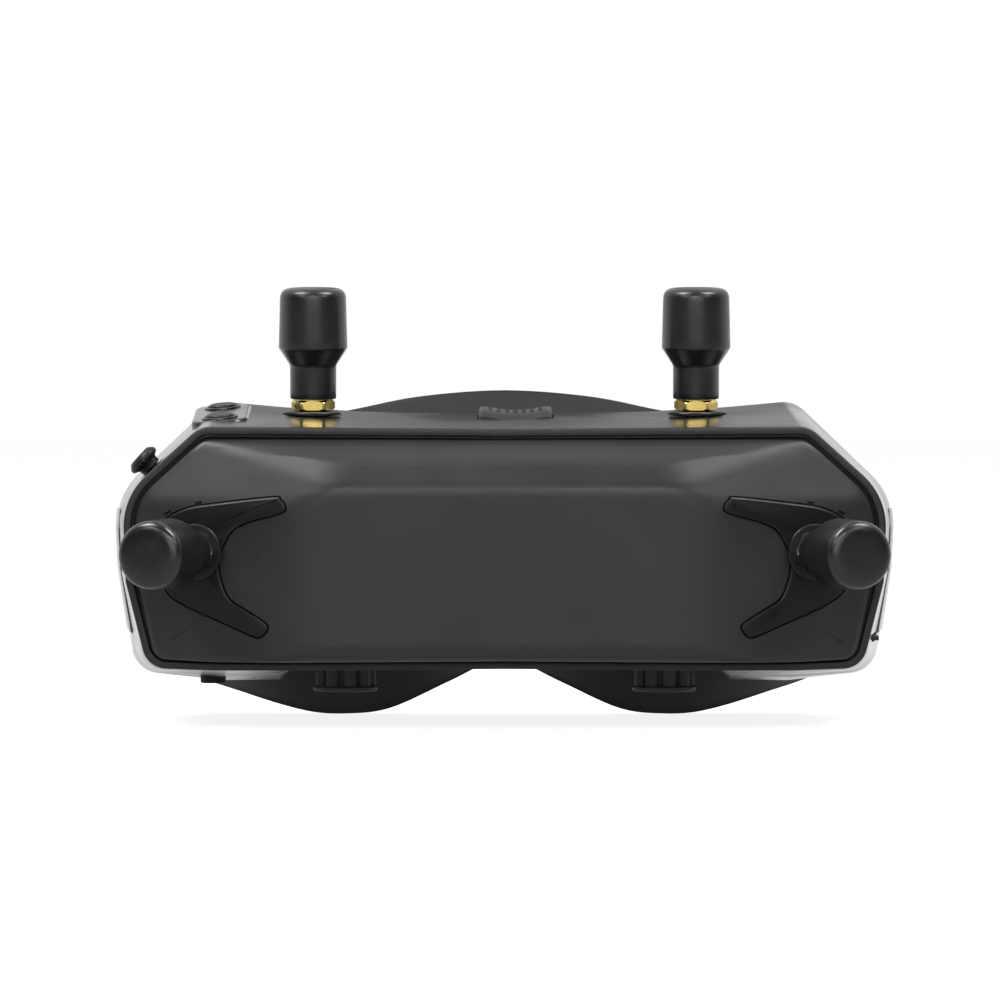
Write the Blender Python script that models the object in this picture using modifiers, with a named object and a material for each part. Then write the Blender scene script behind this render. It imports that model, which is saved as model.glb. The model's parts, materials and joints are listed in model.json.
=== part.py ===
"""FPV goggles, front facing -Y, standing on the lower edge of the face shroud.

Sizes are in millimetres and turned into metres by MM. Depths count back from the plane of the front
lip, so depth 0 is the lip, negative depths are in front of it and positive ones go towards the face.
+X is on the right for somebody standing in front of the goggles, and the wearer's left.
"""

import math

import bmesh
import bpy
from mathutils import Matrix, Vector

MM = 0.001
GAP = 0.3                      # left between pieces that touch
LIP_Y = -19.6                  # where depth 0 lies, so that the origin is under the middle

# Shells
HOUSING_FRONT = 1.5            # depth where the main housing starts
HOUSING_REAR = 42.0            # depth where it ends
HOUSING_WALL = 2.6
BEZEL_FRONT = -1.0
BEZEL_REAR = 1.2
COVER_INSET = 1.9              # from the lip outline to the edge of the front cover
TONGUE_INSET = 2.9             # and to its tongue, which fits inside the housing
COVER_WALL = 2.8
COVER_SIDE_WALL = 1.9
COVER_BACK = 1.2               # depth of the cover's edge, against the housing
COVER_TONGUE = 3.5             # depth that the tongue reaches inside the housing
COVER_BULGE = 13.0             # how far the flat middle of the cover stands in front of the lip
COVER_FLAT_HALF = 40.0         # half width of that flat middle
SIDE_ANGLE = math.radians(19)  # how far the cover's sides and the front aerials turn outwards
REAR_PLATE = (42.3, 45.3)
SHROUD_FRONT = 45.6
SHROUD_MIDDLE = 57.0           # depth of the shroud's rim at the nose
SHROUD_WRAP = 9.0              # how much further back the rim lies at the temples
SHROUD_WALL = 1.8
FOAM_THICK = 7.0
FOAM_WIDTH = 11.0

# Aerials: a runs along the aerial from the face of its seat
TOP_AERIAL = (39.0, 29.0, 62.3)
TOP_LEAN = math.radians(3.5)
FRONT_AERIAL_X = 61.6
FRONT_AERIAL_Z = 35.1
SEAT_WALL = 3.2                # material between the seat and the inner flange of the jack
JACK_R = 3.1
BRACKET_PROUD = 0.4
BRACKET_THICK = 1.6

# Optics
EYE_X = 32.5                   # half the rest eye distance
EYE_Z = 37.5
BARREL_R = 14.2
ROD_R = 1.5
ROD_DEPTH = 19.5
ROD_Z = (20.7, 54.3)
KNOB_FLUTES = 9
PINION_DEPTH = 30.0
PINION_TEETH = 14
TOOTH_MODULE = 0.5
PINION_R = PINION_TEETH * TOOTH_MODULE / 2
DISPLAY_DEPTH = 5.9            # front of the display boards, clear of the barrels at their foremost
DISPLAY_THICK = 1.7

# Outlines of the right half, from the top middle to the bottom middle: x, z, corner radius
LIP = [
    (0, 59.6, 0), (30, 59.8, 0), (45, 59.9, 0), (61, 60, 5), (76.5, 46, 14), (75.8, 29, 0),
    (71.5, 11.8, 5), (58, 11.3, 0), (46, 11.3, 0), (42, 11.3, 0), (0, 11.6, 0),
]
REAR = [
    (0, 62.1, 0), (30, 62.9, 0), (45, 63.7, 0), (59.5, 65, 6), (80, 45.5, 14), (79.3, 31, 0),
    (76, 9.5, 6), (58, 7.6, 0), (46, 7.7, 0), (42, 11.5, 0), (0, 11.5, 0),
]
SHROUD_BASE = [
    (0, 58, 0), (30, 58, 0), (44, 58, 0), (58, 57, 8), (72, 45, 12), (73, 31, 0),
    (70, 13, 8), (58, 10.8, 0), (46, 10.8, 0), (34, 11.2, 0), (0, 15, 0),
]
SHROUD_RIM = [
    (0, 67.2), (17, 66), (30, 63.5), (45, 60), (60, 52), (70.5, 43.5), (75.5, 33), (74, 18),
    (66.5, 9), (54, 4.2), (41.5, 0.6), (32.9, 0), (24, 1.1), (13.5, 5.8), (6, 9.6), (0, 13.5),
]
SEAT_BRACKET = [
    (-43.7, 44.5), (-44.6, 45.7), (-46.2, 46.1), (-58.3, 44.7), (-63.4, 43.8), (-67.6, 41.6),
    (-69.4, 37.8), (-69.4, 32), (-67.4, 27.2), (-63.9, 24.6), (-54.7, 20.5), (-50.3, 18.6),
    (-48.6, 18.3), (-47.2, 19.8), (-47.6, 21.1), (-51.5, 23.6), (-55.2, 26.3), (-57, 32.4),
    (-55.9, 36.7), (-52.9, 40.4), (-44.5, 43),
]

for old in list(bpy.data.objects):
    bpy.data.objects.remove(old, do_unlink=True)

parts = bpy.data.collections.new("fpv_goggles")
cutters = bpy.data.collections.new("cutters")
bpy.context.scene.collection.children.link(parts)
bpy.context.scene.collection.children.link(cutters)


# ---------------------------------------------------------------- helpers

def at(x, depth, z):
    """A point in metres from its place in millimetres."""
    return Vector((x, LIP_Y + depth, z)) * MM


def finish(name, colour, roughness, metallic=0.0):
    made = bpy.data.materials.new(name)
    made.use_nodes = True
    shader = made.node_tree.nodes["Principled BSDF"]
    shader.inputs["Base Color"].default_value = (*colour, 1)
    shader.inputs["Roughness"].default_value = roughness
    shader.inputs["Metallic"].default_value = metallic
    return made


GLOSS = finish("gloss_black", (0.022, 0.022, 0.024), 0.2)
SATIN = finish("satin_grey", (0.045, 0.045, 0.046), 0.42)
MATTE = finish("matte_black", (0.015, 0.015, 0.017), 0.55)
RUBBER = finish("rubber", (0.02, 0.02, 0.021), 0.8)
FOAM = finish("foam", (0.028, 0.028, 0.03), 0.95)
GOLD = finish("gold_plate", (0.9, 0.62, 0.2), 0.25, 1.0)
STEEL = finish("steel", (0.6, 0.6, 0.62), 0.3, 1.0)
BOARD = finish("circuit_board", (0.02, 0.09, 0.04), 0.5)
GLASS = finish("lens_glass", (0.75, 0.8, 0.85), 0.05)
ALUMINIUM = finish("aluminium", (0.55, 0.56, 0.58), 0.4, 1.0)


def add(name, mesh, material, collection=parts, matrix=None):
    made = bpy.data.objects.new(name, mesh)
    collection.objects.link(made)
    if material:
        mesh.materials.append(material)
    if matrix:
        made.matrix_world = matrix
    if collection is cutters:
        made.hide_render = True
        made.display_type = "WIRE"
    return made


def frame_on(origin, direction):
    """A matrix whose local Z runs along direction, and local X as near to world X as it can."""
    z = Vector(direction).normalized()
    x = Vector((0, 1, 0)) if abs(z.x) > 0.9 else Vector((1, 0, 0))
    y = z.cross(x).normalized()
    turn = Matrix((y.cross(z), y, z)).transposed().to_4x4()
    return Matrix.Translation(origin) @ turn


def from_bmesh(name, shape):
    mesh = bpy.data.meshes.new(name)
    shape.to_mesh(mesh)
    shape.free()
    return mesh


def box(name, low, high):
    """A block between two corners given in millimetres as x, depth, z."""
    shape = bmesh.new()
    size = at(*high) - at(*low)
    middle = (at(*high) + at(*low)) / 2
    bmesh.ops.create_cube(shape, size=1, matrix=Matrix.Translation(middle) @ Matrix.Diagonal((*size, 1)))
    return from_bmesh(name, shape)


def rod(name, radius, start, end, steps=24):
    """A cylinder along local Z, in millimetres."""
    shape = bmesh.new()
    place = Matrix.Translation((0, 0, (start + end) / 2 * MM))
    bmesh.ops.create_cone(shape, cap_ends=True, segments=steps, radius1=radius * MM,
                          radius2=radius * MM, depth=(end - start) * MM, matrix=place)
    return from_bmesh(name, shape)


def turned(name, profile, material, matrix, steps=24, collection=parts):
    """A closed profile of radius and height, turned about local Z. It runs down its outer side."""
    shape = bmesh.new()
    points = [shape.verts.new((r * MM, 0, a * MM)) for r, a in profile]
    ends = points[1:] if profile[0][0] == 0 and profile[-1][0] == 0 else points[1:] + points[:1]
    for first, second in zip(points, ends):
        shape.edges.new((first, second))
    made = add(name, from_bmesh(name, shape), material, collection, matrix)
    screw = made.modifiers.new("turn", "SCREW")
    screw.steps = screw.render_steps = steps
    screw.use_merge_vertices = True
    screw.merge_threshold = 0.00001
    screw.use_smooth_shade = True
    return made


def loft(name, rings, closed_ends=False):
    """Faces between rings of points; the last ring joins the first, or both ends are capped."""
    shape = bmesh.new()
    rows = [[shape.verts.new(point) for point in ring] for ring in rings]
    count = len(rows[0])
    pairs = list(zip(rows, rows[1:])) + ([] if closed_ends else [(rows[-1], rows[0])])
    for low, high in pairs:
        for i in range(count):
            j = (i + 1) % count
            shape.faces.new((low[i], low[j], high[j], high[i]))
    if closed_ends:
        shape.faces.new(rows[0])
        shape.faces.new(rows[-1])
    bmesh.ops.recalc_face_normals(shape, faces=shape.faces)
    bmesh.ops.triangulate(shape, faces=[face for face in shape.faces if len(face.verts) == 4])
    return from_bmesh(name, shape)


def prism(name, outline, front, back):
    """An outline of x and z points made solid between two depths."""
    return loft(name, [[at(x, depth, z) for x, z in outline] for depth in (front, back)], closed_ends=True)


def rounded(half, arc_steps=5):
    """A whole outline from its right half, with its corners turned into arcs."""
    flat = [(x, z) for x, z, _ in half]
    right = []
    for i, (x, z, radius) in enumerate(half):
        if not radius:
            right.append(Vector((x, z)))
            continue
        corner = Vector((x, z))
        back = (Vector(flat[i - 1]) - corner).normalized()
        ahead = (Vector(flat[i + 1]) - corner).normalized()
        half_angle = back.angle(ahead) / 2
        reach = radius / math.tan(half_angle)
        centre = corner + (back + ahead).normalized() * radius / math.sin(half_angle)
        start = corner + back * reach - centre
        sweep = start.angle_signed(corner + ahead * reach - centre)
        for k in range(arc_steps + 1):
            turn = Matrix.Rotation(-sweep * k / arc_steps, 2)
            right.append(centre + turn @ start)
    left = [Vector((-p.x, p.y)) for p in reversed(right[1:-1])]
    return right + left


def smoothed(half, per_span=3):
    """A whole outline through the points of its right half, as a smooth curve; the ends stay corners."""
    points = [Vector(p) for p in half]
    mirror = [Vector((-points[1].x, points[1].y))] + points
    mirror.append(Vector((-points[-2].x, points[-2].y)))
    right = []
    for i in range(1, len(mirror) - 2):
        a, b, c, d = mirror[i - 1:i + 3]
        for k in range(per_span):
            t = k / per_span
            right.append(0.5 * ((2 * b) + (c - a) * t + (2 * a - 5 * b + 4 * c - d) * t * t
                                + (3 * b - a - 3 * c + d) * t * t * t))
    right.append(points[-1])
    return right + [Vector((-p.x, p.y)) for p in reversed(right[1:-1])]


def respaced(outline, half_count):
    """The same symmetric outline with evenly spaced points, half_count of them down each side."""
    middle = len(outline) // 2
    right = outline[:middle + 1]
    lengths = [0.0]
    for a, b in zip(right, right[1:]):
        lengths.append(lengths[-1] + (b - a).length)
    evenly = []
    for k in range(half_count):
        want = lengths[-1] * k / (half_count - 1)
        i = max(j for j, length in enumerate(lengths) if length <= want + 1e-9)
        i = min(i, len(right) - 2)
        share = (want - lengths[i]) / (lengths[i + 1] - lengths[i])
        evenly.append(right[i].lerp(right[i + 1], share))
    return evenly + [Vector((-p.x, p.y)) for p in reversed(evenly[1:-1])]


def inset(outline, distance):
    """The outline moved inwards by distance."""
    count = len(outline)
    moved = []
    for i in range(count):
        before = outline[i] - outline[i - 1]
        after = outline[(i + 1) % count] - outline[i]
        normal_a = Vector((before.y, -before.x)).normalized()
        normal_b = Vector((after.y, -after.x)).normalized()
        normal = (normal_a + normal_b).normalized()
        moved.append(outline[i] + normal * distance / max(0.5, normal.dot(normal_a)))
    return moved


def cut(target, *tools):
    for tool in tools:
        step = target.modifiers.new(tool.name, "BOOLEAN")
        step.operation = "DIFFERENCE"
        step.object = tool


def fuse(target, *tools):
    for tool in tools:
        step = target.modifiers.new(tool.name, "BOOLEAN")
        step.operation = "UNION"
        step.object = tool


def tool(name, mesh, matrix=None):
    return add(name, mesh, None, cutters, matrix)


def sided(name, build):
    """Calls build for the left side, at -X, and for the right side."""
    for side, sign in (("left", -1), ("right", 1)):
        build(f"{name}_{side}", sign)


lip_outline = rounded(LIP)
rear_outline = rounded(REAR)


# ---------------------------------------------------------------- main housing and bezel

def housing_outline(depth):
    share = (depth - HOUSING_FRONT) / (HOUSING_REAR - HOUSING_FRONT)
    return [a.lerp(b, share) for a, b in zip(lip_outline, rear_outline)]


def ring_at(outline, depth):
    return [at(p.x, depth, p.y) for p in outline]


main_housing = add("main_housing", loft("main_housing", [
    ring_at(lip_outline, HOUSING_FRONT),
    ring_at(rear_outline, HOUSING_REAR),
    ring_at(inset(rear_outline, HOUSING_WALL), HOUSING_REAR),
    ring_at(inset(lip_outline, HOUSING_WALL), HOUSING_FRONT),
]), GLOSS)

front_bezel = add("front_bezel", loft("front_bezel", [
    ring_at(lip_outline, BEZEL_FRONT),
    ring_at(lip_outline, BEZEL_REAR),
    ring_at(inset(lip_outline, COVER_INSET - GAP), BEZEL_REAR),
    ring_at(inset(lip_outline, COVER_INSET - GAP), BEZEL_FRONT),
]), MATTE)


# ---------------------------------------------------------------- front cover

def bulged(name, outline, back, offset):
    """The outline drawn forward and cut by the planes of the cover, moved inwards by offset."""
    solid = bmesh.new()
    solid.from_mesh(prism(name, outline, -COVER_BULGE - 5, back))
    side = (math.sin(SIDE_ANGLE), -math.cos(SIDE_ANGLE), 0)
    shoulder_run = Vector((13, 0, -12.2)).normalized()
    shoulder_out = Vector((-shoulder_run.z, 0, shoulder_run.x))
    shoulder = shoulder_out * math.sin(math.radians(26)) + Vector((0, -math.cos(math.radians(26)), 0))
    planes = [
        ((0, -COVER_BULGE, 0), (0, -1, 0)),
        ((0, -COVER_BULGE, 48), Vector((0, -1, 0.67))),
        ((0, -9.5, 53.2), Vector((0, -1, 2))),
        ((0, -COVER_BULGE, 15.3), Vector((0, -1, -1.2))),
    ]
    for sign in (-1, 1):
        planes.append(((sign * COVER_FLAT_HALF, -COVER_BULGE, 0), (sign * side[0], side[1], 0)))
        planes.append(((sign * 60, -1.5, 57.2), (sign * shoulder.x, shoulder.y, shoulder.z)))
    for (x, depth, z), direction in planes:
        normal = Vector(direction).normalized()
        bmesh.ops.bisect_plane(solid, geom=solid.verts[:] + solid.edges[:] + solid.faces[:],
                               plane_co=at(x, depth, z) - normal * offset * MM, plane_no=normal,
                               clear_outer=True)
        rim = [edge for edge in solid.edges if edge.is_boundary]
        if rim:
            bmesh.ops.edgeloop_fill(solid, edges=rim)
    bmesh.ops.recalc_face_normals(solid, faces=solid.faces)
    return from_bmesh(name, solid)


cover_outline = inset(lip_outline, COVER_INSET)
tongue_outline = inset(lip_outline, TONGUE_INSET)
front_cover = add("front_cover", bulged("front_cover", cover_outline, COVER_BACK, 0), SATIN)
fuse(front_cover, tool("tongue", prism("tongue", tongue_outline, COVER_BACK - 0.5, COVER_TONGUE)))
cover_hollow = tool("cover_hollow", bulged(
    "cover_hollow", inset(tongue_outline, COVER_SIDE_WALL), COVER_TONGUE + 1, COVER_WALL))
cut(front_cover, cover_hollow)


# ---------------------------------------------------------------- aerial brackets

def side_frame(sign):
    """The seat of a front aerial: its origin on the outer face, local Z pointing outwards."""
    direction = Vector((sign * math.sin(SIDE_ANGLE), -math.cos(SIDE_ANGLE), 0))
    on_cover = FRONT_AERIAL_X - (GAP + BRACKET_PROUD) * math.sin(SIDE_ANGLE)
    depth = -COVER_BULGE + (on_cover - COVER_FLAT_HALF) * math.tan(SIDE_ANGLE)
    origin = at(sign * on_cover, depth, FRONT_AERIAL_Z) + direction * (GAP + BRACKET_PROUD) * MM
    return origin, direction


def slab(name, outline, sign, start, end, grow=0.0):
    """An outline seen from the front, lying between two heights a over the side of the cover."""
    origin, direction = side_frame(sign)
    flat = [Vector((sign * -x, z)) for x, z in outline]
    if grow:
        flat = inset(flat, grow if sign < 0 else -grow)
    rings = []
    for a in (start, end):
        base = origin + direction * a * MM
        ring = []
        for p in flat:
            across = (p.x * MM - base.x) * -direction.x / direction.y
            ring.append(Vector((p.x * MM, base.y + across, p.y * MM)))
        rings.append(ring)
    return loft(name, rings, closed_ends=True)


def bracket(name, sign):
    made = add(name, slab(name, SEAT_BRACKET, sign, -GAP - BRACKET_THICK, -GAP), MATTE)
    hole = tool(name + "_hole", rod(name + "_hole", JACK_R + GAP, -12, 8), frame_on(*side_frame(sign)))
    pocket = tool(name + "_pocket", slab(name + "_pocket", SEAT_BRACKET, sign,
                                         -2 * GAP - BRACKET_THICK, 3, grow=GAP))
    cut(made, hole)
    cut(front_cover, pocket, hole)


sided("bracket", bracket)


# ---------------------------------------------------------------- aerials

def aerial(name, origin, direction, nut_metal):
    """A screw-on aerial: jack and gasket stay on the housing, the nut turns, the rest lifts with it."""
    place = frame_on(origin, direction)
    inner = -GAP - SEAT_WALL - GAP
    turned("jack_" + name, [
        (2.2, 4.85), (JACK_R, 4.85), (JACK_R, inner), (5, inner), (5, inner - 1.8), (2.2, inner - 1.8),
    ], GOLD, place, 12)
    turned("gasket_" + name, [
        (JACK_R + GAP, 0.8), (5.65, 0.8), (5.65, 0), (JACK_R + GAP, 0),
    ], MATTE, place, 20)
    nut = turned("nut_" + name, [
        (2.6, 6.65), (3.9, 6.65), (3.9, 2.95), (4.45, 2.95), (4.45, 1.1), (JACK_R + GAP, 1.1),
        (JACK_R + GAP, 5.95), (2.6, 5.95),
    ], nut_metal, place, 18)
    hexagon = tool("hex_" + name, rod("hex_" + name, 4.0 / math.cos(math.pi / 6), 0.5, 8, 6), place)
    step = nut.modifiers.new("flats", "BOOLEAN")
    step.operation = "INTERSECT"
    step.object = hexagon
    turned("core_" + name, [
        (0, 17.8), (5.4, 17.8), (5.4, 16.8), (1.5, 16.8), (1.5, 8.65), (3.6, 8.65), (3.6, 6.95),
        (2.3, 6.95), (2.3, 5.65), (3.0, 5.65), (3.0, 5.15), (0.6, 5.15), (0.6, -1), (0, -1),
    ], GOLD, place, 10)
    turned("radome_" + name, [
        (0, 25.85), (5.1, 25.85), (6.3, 25.35), (6.75, 24.2), (7.0, 13.6), (4.7, 10.0), (4.7, 3.25),
        (4.2, 3.25), (4.2, 10.3), (6.2, 14.1), (6.1, 24.3), (0, 24.3),
    ], MATTE, place, 20)


def top_frame(sign):
    x, depth, z = TOP_AERIAL
    return at(sign * x, depth, z), Vector((0, -math.sin(TOP_LEAN), math.cos(TOP_LEAN)))


for side, sign in (("left", -1), ("right", 1)):
    aerial("top_" + side, *top_frame(sign), GOLD)
    aerial("front_" + side, *side_frame(sign), STEEL)
    seat = frame_on(*top_frame(sign))
    fuse(main_housing, tool("seat_" + side, rod("seat", 7.6, -GAP - SEAT_WALL, -GAP - 0.7), seat))
    cut(main_housing, tool("spot_face_" + side, rod("spot_face", 6.2, -GAP, 6, 28), seat))
    cut(main_housing, tool("jack_hole_" + side, rod("jack_hole", JACK_R + GAP, -12, 8), seat))


# ---------------------------------------------------------------- push buttons and joystick

PAD_MIDDLE = (-57.5, 25, 62.75)
PAD_SLOPE = 0.122              # how much the pad rises for each mm further back
PAD_NORMAL = Vector((-0.08, -PAD_SLOPE, 1)).normalized()
PAD_THICK = 3.0


def on_pad(depth):
    along = depth - PAD_MIDDLE[1]
    return frame_on(at(PAD_MIDDLE[0], depth, PAD_MIDDLE[2] + PAD_SLOPE * along), PAD_NORMAL)


pad = bmesh.new()
pad_place = on_pad(PAD_MIDDLE[1]) @ Matrix.Translation((0, 0, -PAD_THICK / 2 * MM))
pad_size = Matrix.Diagonal((11.5 * MM, 27 * MM, PAD_THICK * MM, 1))
bmesh.ops.create_cube(pad, size=1, matrix=pad_place @ pad_size)
fuse(main_housing, tool("pad", from_bmesh("pad", pad)))

for name, depth in (("button_front", 17), ("button_rear", 33)):
    turned(name, [
        (0, 0.8), (2.3, 0.8), (2.8, 0.45), (2.8, -1.1), (2.0, -1.1), (2.0, -3.3), (2.6, -3.3),
        (2.6, -3.8), (0, -3.8),
    ], MATTE, on_pad(depth), 16)
    fuse(main_housing, tool(name + "_ring", rod("ring", 3.75, -1.5, 0.35, 20), on_pad(depth)))
    cut(main_housing, tool(name + "_well", rod("well", 2.8 + GAP, -2.2, 4, 16), on_pad(depth)))
    cut(main_housing, tool(name + "_hole", rod("hole", 2.0 + GAP, -8, 4, 12), on_pad(depth)))

STICK_AXIS = Vector((-0.74, 0, 0.672)).normalized()
STICK_SEAT = at(-71.1, 8.5, 51.9)
stick_frame = frame_on(STICK_SEAT, STICK_AXIS)
turned("joystick_cap", [
    (0, 3.3), (2.4, 3.3), (3.3, 2.5), (3.2, 1.6), (2.3, 1.1), (2.2, -0.1), (1.3, -0.4), (1.1, -2.6),
    (0, -2.6),
], MATTE, stick_frame, 16)
turned("joystick_gimbal", [(1.8, -1.4), (2.6, -1.4), (2.6, -2.6), (1.8, -2.6)], STEEL, stick_frame, 16)
turned("joystick_base", [
    (3.1, -0.8), (3.8, -0.8), (3.8, -6.4), (0, -6.4), (0, -3.6), (3.1, -3.6),
], MATTE, stick_frame, 16)
cut(main_housing, tool("joystick_hole", rod("joystick_hole", 3.0, -9, 6, 20), stick_frame))
cut(main_housing, tool("joystick_well", rod("joystick_well", 4.4, -9, -0.5, 20), stick_frame))


# ---------------------------------------------------------------- rear housing, shroud and foam

rear_housing = add("rear_housing", prism("rear_housing", rear_outline, *REAR_PLATE), MATTE)
EYE_OPENING = (22.3, 18.5, 6.0)    # half width, half height and corner radius


def eye_outline(sign):
    half_width, half_height, radius = EYE_OPENING
    outline = []
    for quarter, (x, z) in enumerate(((1, 1), (-1, 1), (-1, -1), (1, -1))):
        for k in range(5):
            angle = math.radians(90 * quarter + 22.5 * k)
            outline.append((sign * EYE_X + x * (half_width - radius) + radius * math.cos(angle),
                            EYE_Z + z * (half_height - radius) + radius * math.sin(angle)))
    return outline


for side, sign in (("left", -1), ("right", 1)):
    opening = prism("eye", eye_outline(sign), REAR_PLATE[0] - 1, REAR_PLATE[1] + 1)
    cut(rear_housing, tool("eye_opening_" + side, opening))

HALF_RING = 28
shroud_base = respaced(rounded(SHROUD_BASE), HALF_RING)
shroud_rim = respaced(smoothed(SHROUD_RIM), HALF_RING)


def rim_depth(x):
    return SHROUD_MIDDLE + SHROUD_WRAP * (x / 76) ** 2


def wrapped(outline, back=0.0):
    """A ring that follows the curved rim, back mm behind it."""
    return [at(p.x, rim_depth(p.x) + back, p.y) for p in outline]


def between(outline_a, outline_b, share):
    middle = [a.lerp(b, share) for a, b in zip(outline_a, outline_b)]
    return [at(p.x, SHROUD_FRONT + (rim_depth(p.x) - SHROUD_FRONT) * share, p.y) for p in middle]


inner_base = inset(shroud_base, SHROUD_WALL)
inner_rim = inset(shroud_rim, SHROUD_WALL)
face_shroud = add("face_shroud", loft("face_shroud", [
    ring_at(shroud_base, SHROUD_FRONT),
    between(shroud_base, shroud_rim, 0.6),
    wrapped(shroud_rim),
    wrapped(inner_rim),
    between(inner_base, inner_rim, 0.6),
    ring_at(inner_base, SHROUD_FRONT),
]), RUBBER)

foam_inner = inset(inset(shroud_rim, FOAM_WIDTH / 2), FOAM_WIDTH / 2)
add("face_foam", loft("face_foam", [
    wrapped(inset(shroud_rim, 0.5), GAP),
    wrapped(inset(shroud_rim, 0.8), GAP + FOAM_THICK * 0.7),
    wrapped(inset(shroud_rim, 3), GAP + FOAM_THICK),
    wrapped(inset(foam_inner, -2.5), GAP + FOAM_THICK),
    wrapped(foam_inner, GAP + FOAM_THICK * 0.6),
    wrapped(foam_inner, GAP),
]), FOAM)


# ---------------------------------------------------------------- strap lugs

LUG_THICK = 1.6
LUG_SECTIONS = {    # depth: x and z of the outer face, top to bottom
    27.0: [(78.3, 43), (78.6, 39), (78.3, 31), (76.1, 18)],
    42.0: [(79.7, 43), (79.95, 39), (79.6, 31), (77.7, 18)],
    58.0: [(79.7, 43), (79.95, 39), (79.6, 31), (77.7, 18)],
}
STRAP_SLOT = ((50, 55), (20.5, 40.5))    # depths and heights


def lug_shape(name, sign, grow=0.0):
    rings = []
    for depth, outer in LUG_SECTIONS.items():
        depth += {27.0: -grow, 58.0: grow}.get(depth, 0)
        ends = (grow, 0, 0, -grow)
        ring = [at(sign * (x + grow * 9), depth, z + end) for (x, z), end in zip(outer, ends)]
        ring += [at(sign * (x - LUG_THICK - grow), depth, z + end)
                 for (x, z), end in reversed(list(zip(outer, ends)))]
        rings.append(ring)
    return loft(name, rings, closed_ends=True)


def strap_lug(name, sign):
    made = add(name, lug_shape(name, sign), GLOSS)
    recess = tool(name + "_recess", lug_shape(name + "_recess", sign, GAP))
    cut(main_housing, recess)
    cut(rear_housing, recess)
    (front, back), (low, high) = STRAP_SLOT
    slot = box(name + "_slot", (sign * 79 - 8, front, low), (sign * 79 + 8, back, high))
    cut(made, tool(name + "_slot", slot))


sided("strap_lug", strap_lug)


# ---------------------------------------------------------------- optics on their guide rods

for name, z in (("guide_rod_lower", ROD_Z[0]), ("guide_rod_upper", ROD_Z[1])):
    add(name, rod(name, ROD_R, -58.7, 58.7, 14), STEEL,
        matrix=frame_on(at(0, ROD_DEPTH, z), (1, 0, 0)))


def rod_holes(target, steps=14):
    for z in ROD_Z:
        hole = tool(f"{target.name}_hole_{z:.0f}", rod("rod_hole", ROD_R + GAP, -80, 80, steps),
                    frame_on(at(0, ROD_DEPTH, z), (1, 0, 0)))
        cut(target, hole)


def rod_bracket(name, sign):
    low, high = sorted((sign * 56, sign * 59))
    made = add(name, box(name, (low, 16, 17.5), (high, HOUSING_REAR - GAP, 56.5)), MATTE)
    rod_holes(made)


sided("rod_bracket", rod_bracket)


def across(sign, inner, outer):
    """The two x values of something beside the eye's axis, inner and outer being signed offsets."""
    return sorted((sign * (EYE_X + inner), sign * (EYE_X + outer)))


def carriage(name, sign):
    """A plate on both rods, with an arm that carries the pinion and two posts for the display."""
    low, high = across(sign, -19, 17.3)
    made = add(name, box(name, (low, 15, 17.5), (high, 23, 57.5)), MATTE)
    low, high = across(sign, -3, 3)
    fuse(made, tool(name + "_arm", box("arm", (low, 20, 19.6), (high, 34, 22.6))))
    bore = tool(name + "_bore", rod("bore", BARREL_R + GAP, -80, 80, 32),
                frame_on(at(sign * EYE_X, 20, EYE_Z), (0, 1, 0)))
    shaft_hole = tool(name + "_shaft_hole", rod("shaft_hole", 1.6 + GAP, 10, 24, 16),
                      frame_on(at(sign * EYE_X, PINION_DEPTH, 0), (0, 0, 1)))
    cut(made, bore, shaft_hole)
    rod_holes(made)
    for label, offset in (("inner", -17.0), ("outer", 14.0)):
        low, high = across(sign, offset, offset + 3)
        post = box("post", (low, DISPLAY_DEPTH + DISPLAY_THICK + GAP, 50.5), (high, 16, 53.5))
        fuse(made, tool(f"{name}_post_{label}", post))


def barrel(name, sign):
    place = frame_on(at(sign * EYE_X, 0, EYE_Z), (0, 1, 0))
    made = turned(name, [
        (12.7, 40), (BARREL_R, 40), (BARREL_R, 13), (11.7, 13), (11.7, 33.6), (12.7, 33.6),
    ], MATTE, place, 32)
    low, high = across(sign, -PINION_R - 2.6, -PINION_R - 0.45)
    fuse(made, tool(name + "_rack", box("rack", (low, 26.4, 15), (high, 36, 25))))
    pitch = math.pi * TOOTH_MODULE
    for k in range(-2, 3):
        tooth = [
            (-0.65, -0.95), (-0.62, -0.5), (-0.16, 0.38), (0.16, 0.38), (0.62, -0.5), (0.65, -0.95),
        ]
        ring = [[at(sign * (EYE_X - PINION_R + x), PINION_DEPTH + k * pitch + y, z) for y, x in tooth]
                for z in (15, 19)]
        fuse(made, tool(f"{name}_tooth_{k + 2}", loft("tooth", ring, closed_ends=True)))


def pinion_ring(sign, z):
    """The outline of the pinion with a gap between teeth towards the nose."""
    ring = []
    root, tip = PINION_R - 0.62, PINION_R + 0.38
    step = 2 * math.pi / PINION_TEETH
    for k in range(PINION_TEETH):
        middle = (k + 0.5) * step + (math.pi if sign > 0 else 0)
        for share, radius in ((-0.27, root), (-0.09, tip), (0.09, tip), (0.27, root)):
            angle = middle + share * step
            ring.append(at(sign * EYE_X + radius * math.cos(angle),
                           PINION_DEPTH + radius * math.sin(angle), z))
    return ring


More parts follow.
